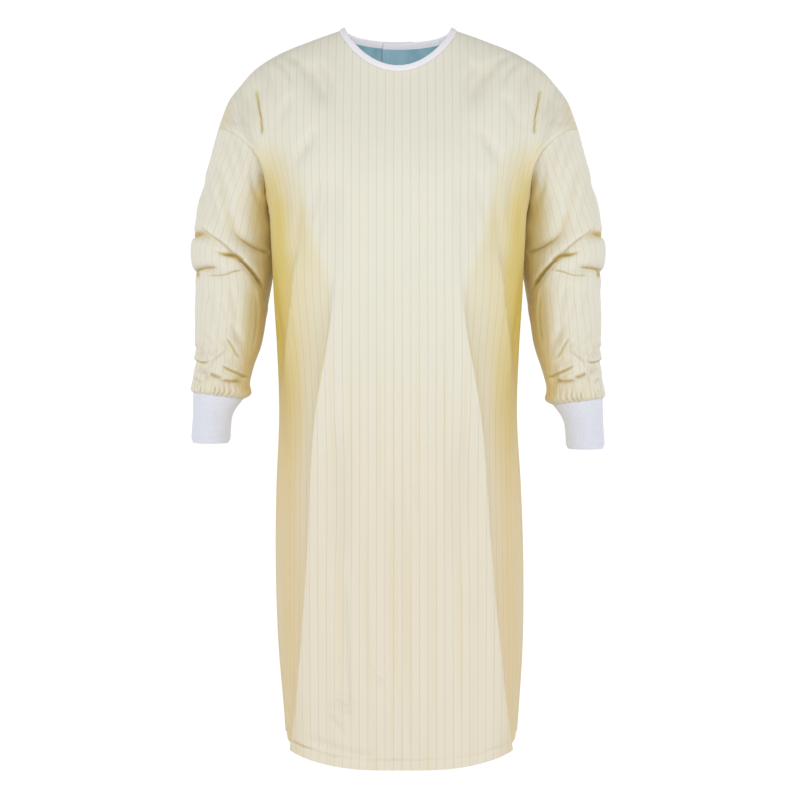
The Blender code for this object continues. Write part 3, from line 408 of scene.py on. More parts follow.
sleeveCreases = (
    Crease(0, 0.006, 0.006, 0.016, 0.0034, 0.014, 0.35, 0.20, 2.0, 0.30,  # edge of the overhang, outer part
           ((0.310, -0.277), (0.3035, -0.306), (0.2895, -0.3210),
            (0.2740, -0.332), (0.2560, -0.348), (0.2380, -0.366))),
    Crease(0, 0.006, 0.005, 0.014, 0.0026, 0.0062, 0.30, 0.35, 2.2, 1.20,  # and inner part
           ((0.2520, -0.351), (0.2376, -0.3665), (0.2283, -0.3768), (0.2130, -0.3985), (0.2030, -0.4160))),
    Crease(0, 0.0080, 0.0, 0.015, 0.015, 0.015, 0.25, 0.30, 2.0, 0.0,  # the puff beside the body
           ((0.208, -0.245), (0.198, -0.290), (0.198, -0.335))),
    trough(0, 0.0045, 0.009, 0.40, 0.00, (0.200, -0.376), (0.2005, -0.418), (0.2010, -0.425)),
    trough(0, 0.003, 0.008, 0.30, 0.50, (0.330, -0.322), (0.308, -0.325), (0.288, -0.332)),
    Crease(0, -0.003, 0.0, 0.0078, 0.0078, 0.0078, 0.00, 0.80, 3.0, 0.46,  # the pocket's shade
           ((0.332, -0.3190), (0.308, -0.3205), (0.284, -0.3280))),
    crisp(0, 0.0030, 0.0026, 0.02, 0.60, (0.326, -0.3235), (0.310, -0.3180), (0.300, -0.3140)),
    trough(0, 0.004, 0.010, 0.20, 0.60, (0.334, -0.379), (0.292, -0.378), (0.254, -0.382), (0.236, -0.376)),
    Crease(0, -0.005, 0.0, 0.0036, 0.0036, 0.0036, 0.60, 0.06, 1.8, 0.75,  # lens below the overhang
           ((0.292, -0.3460), (0.270, -0.3545), (0.252, -0.3570), (0.2385, -0.3665))),
    crisp(0, 0.0058, 0.0024, 0.00, 0.50,
          (0.326, -0.3785), (0.305, -0.3752), (0.285, -0.3745), (0.268, -0.3765)),
    Crease(0, -0.003, 0.0, 0.0066, 0.0066, 0.0066, 0.00, 0.80, 2.0, 0.55,  # the dark triangle at the outline
           ((0.326, -0.381), (0.316, -0.386), (0.310, -0.398))),
    Crease(0, 0.0022, 0.0020, 0.0050, 0.0022, 0.0060, 0.20, 0.20, 1.6, 0.35,
           ((0.300, -0.3850), (0.270, -0.3850), (0.250, -0.3790), (0.235, -0.3780))),
    trough(0, 0.005, 0.010, 0.30, 0.20,
           (0.273, -0.279), (0.262, -0.299), (0.243, -0.330), (0.227, -0.339), (0.200, -0.349)),
    crisp(0, 0.0052, 0.0034, 0.60, 0.05, (0.262, -0.300), (0.243, -0.330), (0.227, -0.339), (0.200, -0.350)),
    crisp(0, 0.0040, 0.0044, 0.30, 0.30,  # tuck at the armpit
          (0.2140, -0.226), (0.2105, -0.238), (0.2090, -0.250)),
    trough(0, 0.0044, 0.009, 0.25, 0.35, (0.2746, -0.162), (0.262, -0.214), (0.2438, -0.268)),
    trough(0, 0.0044, 0.010, 0.25, 0.35, (0.290, -0.205), (0.274, -0.250), (0.252, -0.300)),
    trough(0, 0.0036, 0.007, 0.25, 0.35, (0.300, -0.225), (0.292, -0.268), (0.274, -0.312)),
    trough(0, 0.0034, 0.006, 0.25, 0.35, (0.255, -0.178), (0.243, -0.226), (0.232, -0.262)),
    trough(0, 0.0028, 0.006, 0.25, 0.35, (0.312, -0.215), (0.308, -0.250), (0.300, -0.290)),
    trough(0, 0.0040, 0.008, 0.25, 0.35, (0.262, -0.150), (0.248, -0.190), (0.236, -0.240)),
    trough(0, 0.0036, 0.005, 0.20, 0.40, (0.228, -0.205), (0.224, -0.245), (0.214, -0.285)),
    trough(0, 0.0030, 0.005, 0.25, 0.35, (0.283, -0.240), (0.268, -0.285), (0.246, -0.318)),
    Crease(0, 0.0030, 0.0034, 0.012, 0.006, 0.012, 0.3, 0.3, 1.7, 0.10,  # slanting folds above the cuff
           ((0.304, -0.455), (0.290, -0.478), (0.268, -0.500), (0.246, -0.512))),
    Crease(0, 0.0034, 0.0040, 0.008, 0.0036, 0.012, 0.25, 0.30, 1.7, 0.42,
           ((0.264, -0.478), (0.2530, -0.495), (0.2440, -0.510), (0.2340, -0.520))),
    Crease(0, 0.0030, 0.0030, 0.007, 0.0040, 0.012, 0.25, 0.30, 1.7, 0.14,
           ((0.306, -0.492), (0.294, -0.506), (0.282, -0.524))),
    Crease(0, 0.0034, 0.0030, 0.008, 0.0036, 0.010, 0.25, 0.25, 1.7, 0.20,
           ((0.292, -0.540), (0.286, -0.520), (0.270, -0.506), (0.262, -0.500))),
    Crease(0, 0.0026, 0.0040, 0.007, 0.0030, 0.010, 0.10, 0.45, 1.8, 0.50,
           ((0.318, -0.5140), (0.300, -0.5195), (0.282, -0.5175))),
    Crease(0, 0.0030, 0.0052, 0.008, 0.0028, 0.012, 0.30, 0.10, 1.8, 0.60,
           ((0.272, -0.522), (0.260, -0.5300), (0.244, -0.5370), (0.230, -0.5440))),
    crisp(0, 0.0060, 0.0032, 0.15, 0.45, (0.292, -0.5370), (0.278, -0.5430), (0.262, -0.5455)),
    crisp(0, 0.0060, 0.0030, 0.35, 0.20, (0.276, -0.5470), (0.256, -0.5505), (0.234, -0.5500)),
    trough(0, 0.0040, 0.0060, 0.15, 0.30, (0.316, -0.4940), (0.308, -0.5020), (0.296, -0.5060)),
    trough(0, 0.0034, 0.0050, 0.20, 0.30, (0.312, -0.5260), (0.298, -0.5330), (0.284, -0.5330)),
    trough(0, 0.0036, 0.0055, 0.20, 0.30, (0.256, -0.4600), (0.246, -0.4790), (0.238, -0.4960)),
    crisp(0, 0.0030, 0.0028, 0.15, 0.40, (0.318, -0.545), (0.308, -0.548), (0.298, -0.556)),
    crisp(0, 0.0026, 0.0026, 0.20, 0.30, (0.304, -0.530), (0.296, -0.538), (0.290, -0.552)),
    trough(0, 0.0024, 0.006, 0.3, 0.3, (0.296, -0.400), (0.290, -0.430), (0.280, -0.462)),
    trough(0, 0.0022, 0.005, 0.3, 0.3, (0.262, -0.395), (0.252, -0.430), (0.250, -0.465)),
    trough(0, 0.0020, 0.004, 0.3, 0.3, (0.276, -0.420), (0.268, -0.438), (0.264, -0.460)),
    Crease(0, 0.0014, 0.0030, 0.006, 0.0036, 0.014, 0.25, 0.30, 1.7, 0.40,  # fold down the inner side
           ((0.2190, -0.398), (0.2160, -0.440), (0.2180, -0.480), (0.2260, -0.515))),
)
sleeveBackCreases = (
    crisp(0, 0.0060, 0.008, 0.3, 0.3, (0.308, -0.300), (0.280, -0.325), (0.240, -0.332)),
    crisp(0, 0.0080, 0.006, 0.2, 0.4, (0.326, -0.352), (0.296, -0.356), (0.256, -0.350)),
    trough(0, 0.0040, 0.010, 0.3, 0.3, (0.280, -0.190), (0.262, -0.240), (0.250, -0.285)),
    trough(0, 0.0040, 0.008, 0.3, 0.3, (0.300, -0.400), (0.276, -0.425), (0.240, -0.432)),
    crisp(0, 0.0040, 0.006, 0.3, 0.3, (0.306, -0.480), (0.282, -0.500), (0.250, -0.505)),
    crisp(0, 0.0050, 0.005, 0.2, 0.3, (0.310, -0.534), (0.280, -0.545), (0.240, -0.542)),
)


def creasePath(crease):
    path = np.array(crease.path)
    along = np.concatenate([[0], np.cumsum(np.hypot(*np.diff(path, axis=0).T))])
    at = np.linspace(0, along[-1], fineness["pathSteps"] + 1)
    return np.stack([smoothCurve(at, along, path[:, 0]), smoothCurve(at, along, path[:, 1])], axis=1)


def creaseLift(x, z, crease):
    path = creasePath(crease)
    start, leg = path[:-1], np.diff(path, axis=0)
    away = np.stack([x, z], axis=-1)[..., None, :] - start
    t = np.clip((away * leg).sum(-1) / (leg**2).sum(-1), 0, 1)
    distance = np.linalg.norm(away - t[..., None] * leg, axis=-1)
    nearest = distance.argmin(-1)[..., None]
    d = np.take_along_axis(distance, nearest, -1)[..., 0]
    turned = leg[:, 0] * away[..., 1] - leg[:, 1] * away[..., 0]
    beyond = np.take_along_axis(turned, nearest, -1)[..., 0] > 0
    share = (nearest + np.take_along_axis(t, nearest, -1))[..., 0] / fineness["pathSteps"]
    far = (crease.rise + crease.recess) * np.exp(-((d / crease.outer) ** crease.power))
    far = far - crease.recess * np.exp(-((d / crease.beyond) ** 2))
    lift = np.where(beyond, far, crease.rise * np.exp(-((d / crease.inner) ** crease.power)))
    lowest = 0.9 * crease.outer if crease.recess else 0
    grown = np.ones_like(share)
    if crease.fadeIn:
        grown = grown * ease(share, 0, crease.fadeIn)
    if crease.fadeOut:
        grown = grown * ease(1 - share, 0, crease.fadeOut)
    spread = (0.5 if crease.recess else 0.75) * crease.outer * (0.35 + 0.65 * grown)  # pointed ends
    spread = np.maximum(0.0014, spread)
    off = np.where(beyond, d, -d) - lowest
    return lift * grown, crease.dark * grown * np.exp(-((off / spread) ** 2))


def creaseLifts(grid, creases):  # the height of all creases, and the shade that lies in them
    lift, shade = np.zeros(grid.shape[:-1]), np.zeros(grid.shape[:-1])
    across = grid[..., 0] - smoothCurve(grid[..., 2], torsoTable["height"], torsoTable["centre"])
    for crease in creases:
        path = np.array(crease.path)
        reach = 3 * max(crease.inner, crease.outer, crease.beyond)
        low, high = path.min(0) - reach, path.max(0) + reach
        for side in (-1, 1) if crease.side == 0 else (crease.side,):
            x, z = side * across, grid[..., 2]
            near = (x > low[0]) & (x < high[0]) & (z > low[1]) & (z < high[1])
            if near.any():
                higher, darker = creaseLift(x[near], z[near], crease)
                lift[near] += higher * ease(x[near], -0.01, 0.01)
                shade[near] = np.maximum(shade[near], darker * ease(x[near], -0.01, 0.01))
    return lift, np.clip(shade, 0, 1)


def crumple(across, along, seed, tall, wide):  # low sharp-backed wrinkles of a pressed, worn cloth
    bend = valueNoise(across / 0.09, along / 0.09, seed) * 1.6
    first = valueNoise(across / wide + bend, along / tall, seed + 1)
    second = valueNoise(across / (0.5 * wide) - bend, along / (0.55 * tall) + bend, seed + 2)
    return -np.abs(first) + 0.35 - 0.45 * np.abs(second)


# Colour and finish

def linearColour(hexText):
    channels = [int(hexText[i:i + 2], 16) / 255 for i in (1, 3, 5)]
    return (*[c / 12.92 if c <= 0.04045 else ((c + 0.055) / 1.055) ** 2.4 for c in channels], 1)


def addNode(tree, kind, settings=None, values=None, links=None):
    node = tree.nodes.new(kind)
    for name, value in (settings or {}).items():
        setattr(node, name, value)
    for socket, value in (values or {}).items():
        node.inputs[socket].default_value = value
    for socket, source in (links or {}).items():
        tree.links.new(source, node.inputs[socket])
    return node


def newMaterial(name, roughness, ior=1.5, metallic=0.0, sheen=0.0, sheenRoughness=0.5):
    made = bpy.data.materials.new(name)
    made.use_nodes = True
    shader = made.node_tree.nodes["Principled BSDF"]
    shader.inputs["Roughness"].default_value = roughness
    shader.inputs["Metallic"].default_value = metallic
    if not metallic:
        shader.inputs["IOR"].default_value = ior
    shader.inputs["Sheen Weight"].default_value = sheen
    shader.inputs["Sheen Roughness"].default_value = sheenRoughness
    return made, made.node_tree, shader


# Cream is the cloth's own colour. The yellow and tan shades, the lower cream and the fold brown are painted
# shade for the sides, the lower part and the folds, where less light falls.
gownCloth = {
    "cream": "#E6E3D3", "creamLowShade": "#E5DDC9", "yellowShade": "#DCC258", "tan": "#DFC68C", "fold": "#6E4A12",
    "stripe": "#87867A", "stripePitch": 0.0127, "stripeWidth": 0.0008, "stripeStrength": 0.27,
    "roughness": 0.62, "sheen": 0.10, "mottle": 0.02,
    "threadDrawn": 0.001, "clouds": 0.111, "pressMarks": 0.0238,
}


def makeCloth():  # close-woven polyester with carbon yarns: a soft even face with fine dark pinstripes
    made, tree, shader = newMaterial("woven polyester with carbon yarns", gownCloth["roughness"],
                                     1.5, sheen=gownCloth["sheen"])
    where = addNode(tree, "ShaderNodeTexCoord").outputs["Object"]
    stripeAt = addNode(tree, "ShaderNodeAttribute", {"attribute_name": "stripeAt"}).outputs["Fac"]
    turns = addNode(tree, "ShaderNodeMath", {"operation": "DIVIDE"},
                    {1: gownCloth["stripePitch"]}, {0: stripeAt})
    part = addNode(tree, "ShaderNodeMath", {"operation": "FRACT"}, links={0: turns.outputs[0]})
    centred = addNode(tree, "ShaderNodeMath", {"operation": "SUBTRACT"}, {1: 0.5}, {0: part.outputs[0]})
    away = addNode(tree, "ShaderNodeMath", {"operation": "ABSOLUTE"}, links={0: centred.outputs[0]})
    half = gownCloth["stripeWidth"] / gownCloth["stripePitch"] / 2
    line = addNode(tree, "ShaderNodeMapRange", {"interpolation_type": "SMOOTHSTEP"},
                   {"From Min": 0.5 * half, "From Max": 1.5 * half, "To Min": gownCloth["stripeStrength"],
                    "To Max": 0.0}, {"Value": away.outputs[0]})
    # painted shade: these attributes say how far the cloth goes to its yellow and tan shades at the sides,
    # in troughs, where it turns away and lower down
    paintedYellowShade = addNode(tree, "ShaderNodeAttribute", {"attribute_name": "paintedYellowShade"}).outputs["Fac"]
    low = addNode(tree, "ShaderNodeAttribute", {"attribute_name": "paintedLowShade"}).outputs["Fac"]
    deep = addNode(tree, "ShaderNodeMix", {"data_type": "RGBA"},
                   {6: linearColour(gownCloth["yellowShade"]), 7: linearColour(gownCloth["tan"])}, {0: low})
    pale = addNode(tree, "ShaderNodeMix", {"data_type": "RGBA"},
                   {6: linearColour(gownCloth["cream"]), 7: linearColour(gownCloth["creamLowShade"])}, {0: low})
    plain = addNode(tree, "ShaderNodeMix", {"data_type": "RGBA"},
                    links={0: paintedYellowShade, 6: pale.outputs[2], 7: deep.outputs[2]})
    # painted shade: the deepest folds are mixed towards a dark brown
    folded = addNode(tree, "ShaderNodeAttribute", {"attribute_name": "folded"}).outputs["Fac"]
    ground = addNode(tree, "ShaderNodeMix", {"data_type": "RGBA"}, {7: linearColour(gownCloth["fold"])},
                     {0: folded, 6: plain.outputs[2]})
    cloudy = addNode(tree, "ShaderNodeTexNoise",
                     values={"Scale": 1 / gownCloth["clouds"], "Detail": 3.0, "Roughness": 0.6},
                     links={"Vector": where})
    shade = addNode(tree, "ShaderNodeMapRange",
                    values={"To Min": 1 - gownCloth["mottle"], "To Max": 1 + gownCloth["mottle"]},
                    links={"Value": cloudy.outputs["Fac"]})
    mottled = addNode(tree, "ShaderNodeVectorMath", {"operation": "SCALE"},
                      links={0: ground.outputs[2], "Scale": shade.outputs[0]})
    striped = addNode(tree, "ShaderNodeMix", {"data_type": "RGBA"}, {7: linearColour(gownCloth["stripe"])},
                      {0: line.outputs[0], 6: mottled.outputs[0]})
    tree.links.new(striped.outputs[2], shader.inputs["Base Color"])
    # Threads of about 0.3 mm are drawn at 1 mm so that they show, over soft pressing marks
    weave = addNode(tree, "ShaderNodeTexNoise",
                    values={"Scale": 1 / gownCloth["threadDrawn"], "Detail": 1.0}, links={"Vector": where})
    fine = addNode(tree, "ShaderNodeBump", values={"Strength": 0.10, "Distance": 0.0003},
                   links={"Height": weave.outputs["Fac"]})
    marks = addNode(tree, "ShaderNodeTexNoise",
                    values={"Scale": 1 / gownCloth["pressMarks"], "Detail": 4.0, "Distortion": 0.8},
                    links={"Vector": where})
    soft = addNode(tree, "ShaderNodeBump", values={"Strength": 0.35, "Distance": 0.0018},
                   links={"Height": marks.outputs["Fac"], "Normal": fine.outputs[0]})
    tree.links.new(soft.outputs[0], shader.inputs["Normal"])
    return made


tealCoating = {"dark": "#578FA4", "light": "#A2C9D4", "roughness": 0.46, "patches": 0.0385}


def makeCoating():  # teal backing film: smooth, a little glossy, with creases that catch the light, partly from the bump and partly painted lighter on their tops
    made, tree, shader = newMaterial("teal breathable coating", tealCoating["roughness"], 1.48)
    where = addNode(tree, "ShaderNodeTexCoord").outputs["Object"]
    patches = addNode(tree, "ShaderNodeTexNoise",
                      values={"Scale": 1 / tealCoating["patches"], "Detail": 4.0, "Distortion": 0.6},
                      links={"Vector": where})
    # painted light and shade: lighter teal where the creases rise, darker where they sink, following the
    # bump's own noise
    colour = addNode(tree, "ShaderNodeMix", {"data_type": "RGBA"},
                     {6: linearColour(tealCoating["dark"]), 7: linearColour(tealCoating["light"])},
                     {0: patches.outputs["Fac"]})
    tree.links.new(colour.outputs[2], shader.inputs["Base Color"])
    bump = addNode(tree, "ShaderNodeBump", values={"Strength": 0.5, "Distance": 0.002},
                   links={"Height": patches.outputs["Fac"]})
    tree.links.new(bump.outputs[0], shader.inputs["Normal"])
    return made


trims = {  # colours, and the length over which each weave or twist repeats
    "ribDark": "#DADDE8", "ribLight": "#E9EBF3", "loop": 0.0018,
    "tapeDark": "#ECEAF0", "tapeLight": "#F5F3F7", "twill": 0.0012,
    "threadDark": "#D9CFAE", "threadLight": "#EFE8D0", "twist": 0.00045,
}


def waveScale(length):  # a wave node with scale 1 repeats each pi / 10
    return math.pi / 10 / length


def makeRibKnit():  # bleached polyester rib: matt, slightly blue, with small loops down each rib
    made, tree, shader = newMaterial("white rib knit", 0.85, 1.5, sheen=0.25)
    where = addNode(tree, "ShaderNodeTexCoord").outputs["Object"]
    loops = addNode(tree, "ShaderNodeTexWave", {"bands_direction": "Z", "wave_profile": "SIN"},
                    {"Scale": waveScale(trims["loop"]), "Distortion": 1.2, "Detail": 2.0,
                     "Detail Scale": 3.0}, {"Vector": where})
    colour = addNode(tree, "ShaderNodeMix", {"data_type": "RGBA"},
                     {6: linearColour(trims["ribDark"]), 7: linearColour(trims["ribLight"])},
                     {0: loops.outputs["Fac"]})
    tree.links.new(colour.outputs[2], shader.inputs["Base Color"])
    bump = addNode(tree, "ShaderNodeBump", values={"Strength": 0.3, "Distance": 0.0004},
                   links={"Height": loops.outputs["Fac"]})
    tree.links.new(bump.outputs[0], shader.inputs["Normal"])
    return made


def makeTape():  # folded white twill tape: bright and smooth, with a fine slanting weave
    made, tree, shader = newMaterial("white folded twill tape", 0.6, 1.5, sheen=0.15)
    where = addNode(tree, "ShaderNodeTexCoord").outputs["Object"]
    twill = addNode(tree, "ShaderNodeTexWave", {"bands_direction": "DIAGONAL"},
                    {"Scale": waveScale(trims["twill"]), "Distortion": 0.6}, {"Vector": where})
    colour = addNode(tree, "ShaderNodeMix", {"data_type": "RGBA"},
                     {6: linearColour(trims["tapeDark"]), 7: linearColour(trims["tapeLight"])},
                     {0: twill.outputs["Fac"]})
    tree.links.new(colour.outputs[2], shader.inputs["Base Color"])
    bump = addNode(tree, "ShaderNodeBump", values={"Strength": 0.2, "Distance": 0.0002},
                   links={"Height": twill.outputs["Fac"]})
    tree.links.new(bump.outputs[0], shader.inputs["Normal"])
    return made


def makeThread():  # spun polyester thread: its twist shows as short slanting marks
    made, tree, shader = newMaterial("cream spun polyester thread", 0.7, 1.5, sheen=0.2)
    where = addNode(tree, "ShaderNodeTexCoord").outputs["Object"]
    twist = addNode(tree, "ShaderNodeTexWave", {"bands_direction": "DIAGONAL"},
                    {"Scale": waveScale(trims["twist"])}, {"Vector": where})
    colour = addNode(tree, "ShaderNodeMix", {"data_type": "RGBA"},
                     {6: linearColour(trims["threadDark"]), 7: linearColour(trims["threadLight"])},
                     {0: twist.outputs["Fac"]})
    tree.links.new(colour.outputs[2], shader.inputs["Base Color"])
    return made


studMetal = {"dark": "#A9A69E", "light": "#C9C6BE", "roughness": 0.32, "rubMarks": 0.0011}


def makeNickel():  # nickel plate over pressed brass: grey, satin, with faint rub marks
    made, tree, shader = newMaterial("satin nickel plate", studMetal["roughness"], metallic=1.0)
    where = addNode(tree, "ShaderNodeTexCoord").outputs["Object"]
    rubbed = addNode(tree, "ShaderNodeTexNoise", values={"Scale": 1 / studMetal["rubMarks"], "Detail": 3.0},
                     links={"Vector": where})
    colour = addNode(tree, "ShaderNodeMix", {"data_type": "RGBA"},
                     {6: linearColour(studMetal["dark"]), 7: linearColour(studMetal["light"])},
                     {0: rubbed.outputs["Fac"]})
    rough = addNode(tree, "ShaderNodeMapRange", values={"To Min": 0.26, "To Max": 0.42},
                    links={"Value": rubbed.outputs["Fac"]})
    tree.links.new(colour.outputs[2], shader.inputs["Base Color"])
    tree.links.new(rough.outputs[0], shader.inputs["Roughness"])
    return made


finish = {
    "cloth": makeCloth(), "coating": makeCoating(), "ribKnit": makeRibKnit(),
    "tape": makeTape(), "thread": makeThread(), "nickel": makeNickel(),
}
print("finishes made")


# Turning grids of points into pieces

def addMesh(name, vertices, faces, materials, faceMaterial, cornerValues=None):
    mesh = bpy.data.meshes.new(name)
    mesh.from_pydata(vertices.tolist(), [], faces)
    for each in materials:
        mesh.materials.append(each)
    mesh.polygons.foreach_set("material_index", faceMaterial)
    for label, values in (cornerValues or {}).items():
        mesh.attributes.new(label, "FLOAT", "CORNER").data.foreach_set("value", values)
    shape = bmesh.new()
    shape.from_mesh(mesh)
    bmesh.ops.recalc_face_normals(shape, faces=shape.faces)
    if shape.calc_volume(signed=True) < 0:
        bmesh.ops.reverse_faces(shape, faces=shape.faces)
    shape.to_mesh(mesh)
    shape.free()
    mesh.shade_smooth()
    mesh.set_sharp_from_angle(angle=math.radians(55))
    piece = bpy.data.objects.new(name, mesh)
    bpy.context.scene.collection.objects.link(piece)
    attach(piece, "root")
    return piece


def addWall(name, outer, inner, closed, materials, values=None):  # materials: outside, inside
    rows, columns = outer.shape[:2]
    count = rows * columns
    index = np.arange(count).reshape(rows, columns)
    right = np.roll(index, -1, axis=1)
    last = columns if closed else columns - 1
    a, b = index[:-1, :last].ravel(), right[:-1, :last].ravel()
    c, d = right[1:, :last].ravel(), index[1:, :last].ravel()
    front = np.stack([a, b, c, d], axis=1)
    back = front[:, ::-1] + count
    edges = [np.stack([right[0, :last], index[0, :last]], axis=1),
             np.stack([index[-1, :last], right[-1, :last]], axis=1)]
    if not closed:
        edges.append(np.stack([index[:-1, 0], index[1:, 0]], axis=1))
        edges.append(np.stack([index[1:, -1], index[:-1, -1]], axis=1))
    edges = np.concatenate(edges)
    rim = np.concatenate([edges, edges[:, ::-1] + count], axis=1)
    faces = np.concatenate([front, back, rim]).tolist()
    which = np.zeros(len(faces), int)
    which[len(front):2 * len(front)] = 1
    vertices = np.concatenate([outer.reshape(-1, 3), inner.reshape(-1, 3)])
    corners = {}
    for label, v in (values or {}).items():  # a closed wall's values have one column more, past its seam
        quad = np.stack([v[:-1, :-1], v[:-1, 1:], v[1:, 1:], v[1:, :-1]], axis=-1).reshape(-1, 4)
        edge = v[:, :-1].ravel() if closed else v.ravel()
        corners[label] = np.concatenate([quad.ravel(), quad[:, ::-1].ravel(), np.tile(edge, 2)[rim].ravel()])
    return addMesh(name, vertices, faces, materials, which, corners)


def sampled(grid, rows, columns):
    i = np.clip(rows.astype(int), 0, grid.shape[0] - 2)
    j = np.clip(columns.astype(int), 0, grid.shape[1] - 2)
    a, b = (rows - i)[:, None], (columns - j)[:, None]
    low = grid[i, j] * (1 - b) + grid[i, j + 1] * b
    return low * (1 - a) + (grid[i + 1, j] * (1 - b) + grid[i + 1, j + 1] * b) * a


def insetLine(grid, normals, edge, distance):  # a line at one distance from an edge of the cloth
    turned = {"bottom": (0, 1), "start": (1, 1), "end": (1, -1)}[edge]
    work = grid if turned[0] == 0 else grid.transpose(1, 0, 2)
    work = work[::turned[1]]
    along = np.concatenate([np.zeros((1, work.shape[1])),
                            np.cumsum(np.linalg.norm(np.diff(work, axis=0), axis=-1), axis=0)])
    lines = np.arange(work.shape[1], dtype=float)
    at = np.array([np.interp(distance, along[:, k], np.arange(len(along))) for k in range(len(lines))])
    if turned[1] < 0:
        at = len(along) - 1 - at
    rows, columns = (at, lines) if turned[0] == 0 else (lines, at)
    return sampled(grid, rows, columns), unitRows(sampled(normals, rows, columns))


stitching = {"length": 0.0027, "gap": 0.0008, "thread": 0.00050, "sides": 6, "start": 0.001,
             "fromSeam": 0.0024, "fromLap": 0.009}


def stitchLine(line, out):  # one capsule a stitch, half sunk in the cloth
    along = np.concatenate([[0], np.cumsum(np.linalg.norm(np.diff(line, axis=0), axis=1))])
    pitch = stitching["length"] + stitching["gap"]
    starts = np.arange(stitching["start"], along[-1] - pitch, pitch)
    reach = np.array((0.0, 0.22, 0.5, 0.78, 1.0))  # along the stitch
    fat = np.array((0.25, 0.85, 1.0, 0.85, 0.25))
    lift = np.array((-0.5, 0.1, 0.35, 0.1, -0.5)) * stitching["thread"]  # its ends dip into the cloth
    vertices, faces = [], []
    sides = stitching["sides"]
    turn = np.arange(sides) * 2 * math.pi / sides
    for n, start in enumerate(starts):
        at = start + reach * stitching["length"]
        centre = np.stack([np.interp(at, along, line[:, k]) for k in range(3)], axis=1)
        normal = unitRows(np.array([np.interp(at[2], along, out[:, k]) for k in range(3)])[None])[0]
        ahead = unitRows((centre[-1] - centre[0])[None])[0]
        side = np.cross(ahead, normal)
        ring = (side * np.cos(turn)[:, None] + normal * np.sin(turn)[:, None]) * stitching["thread"] / 2
        points = centre[:, None] + normal * lift[:, None, None] + ring * fat[:, None, None]
        vertices.append(points.reshape(-1, 3))
        base = n * 5 * sides
        for r in range(4):
            for k in range(sides):
                a, b = base + r * sides + k, base + r * sides + (k + 1) % sides
                faces.append((a, b, b + sides, a + sides))
        faces.append(tuple(base + k for k in range(sides)))
        faces.append(tuple(base + 4 * sides + k for k in range(sides)))
    return np.concatenate(vertices), faces


def addStitches(name, lines):
    vertices, faces, count = [], [], 0
    for line, out in lines:
        some, around = stitchLine(line, out)
        vertices.append(some)
        faces += [tuple(k + count for k in face) for face in around]
        count += len(some)
    piece = addMesh(name, np.concatenate(vertices), faces, [finish["thread"]], np.zeros(len(faces), int))
    return piece


# Front and back panels

panelLook = {
    "streaks": 0.16, "crumpleHigh": 0.0011, "crumpleLow": 0.0005, "crumpleTall": 0.055, "crumpleWide": 0.016,
    "hemDeep": 0.014, "hemThick": 0.0003, "hemGroove": 0.0006, "grooveWide": 0.0022,
    "hemPucker": 0.0007, "puckerPitch": 0.011, "puckerReach": 0.011,
    "drawnUp": 0.0016, "drawnWave": 0.0018, "drawnWide": 0.0022, "drawnShade": 0.28,
    "stillSide": 0.06, "stillTop": 2 / 11,
    "sideLean": 6 * 0.0127, "leanFrom": -0.20, "leanTo": -0.50,
}

leanEdge = columnsOf(  # past the fold below the arm, the stripes lean towards the middle
    "height across",
    (-0.580, 0.174), (-0.440, 0.163), (-0.345, 0.152), (-0.240, 0.130),
)


def sideLean(x, z):
    lean = panelLook["sideLean"] * ease(np.abs(x), 0.13, 0.19)
    lean = lean * np.clip((panelLook["leanFrom"] - z) / (panelLook["leanFrom"] - panelLook["leanTo"]), 0, 1)
    edge = smoothCurve(z, leanEdge["height"], leanEdge["across"])
    outside = (np.abs(x) > edge) | (z > leanEdge["height"][-1])
    return lean * outside * (z > leanEdge["height"][0])


def stripeCoordinate(grid, us, facing):  # metres across the cloth from its middle
    rows = fineness["bodyRows"]
    steps = np.linalg.norm(np.diff(grid, axis=1), axis=-1)
    along = np.concatenate([np.zeros((len(grid), 1)), np.cumsum(steps, axis=1)], axis=1)
    middle = np.array([np.interp(0, grid[k, :, 0] * np.sign(grid[k, -1, 0] - grid[k, 0, 0]), along[k])
                       for k in range(len(grid))])
    s = (along - middle[:, None]) * np.sign(grid[0, -1, 0] - grid[0, 0, 0])
    low, x = s[rows], grid[..., 0]
    u = us[-1]
    share = np.clip((np.abs(u) - clothCut["neckShare"]) / (1 - clothCut["neckShare"]), 0, 1)
    top = neckCut.halfWidth * np.sin(np.clip(u / clothCut["neckShare"], -1, 1) * math.pi / 2)
    top = top + np.sign(u) * share * shoulderAlong()[-1]
    g = np.linspace(0, 1, fineness["yokeRows"] + 1)[:, None]
    s[rows:] = x[rows:] + (low - x[rows]) * (1 - g) + (top - x[-1]) * g
    if facing < 0:
        s = s + np.sign(x) * sideLean(x, grid[..., 2])
    return s


sideZone = columnsOf(  # where the painted yellow shade on the side begins, its full strength, and its soft edge
    "height from strength soft",
    (-1.130, 0.1600, 0.60, 0.003), (-0.960, 0.1435, 0.50, 0.003), (-0.819, 0.1325, 0.42, 0.003),
    (-0.622, 0.1200, 0.40, 0.004), (-0.430, 0.0965, 0.36, 0.008), (-0.390, 0.1000, 0.36, 0.016),
    (-0.335, 0.1180, 0.38, 0.022), (-0.268, 0.1320, 0.32, 0.026), (-0.215, 0.1460, 0.20, 0.028),
    (-0.180, 0.1700, 0.00, 0.026),
)


zoneLook = {  # how far the cloth goes to its painted yellow shade in each place, and how wide the side's rim of painted shade is
    "turnedAway": 0.35, "inTroughs": 0.35, "inFolds": 0.95, "capShade": 0.13,
    "sleeveInside": 0.72, "sleeveTroughs": 0.7, "patches": 0.16, "rim": 0.050, "rimFull": 0.010,
}


# painted shade: how far a fold's painted shade also turns the cloth yellow
def paintedFoldYellowing(shade):
    return zoneLook["inFolds"] * ease(shade, 0.12, 0.45)


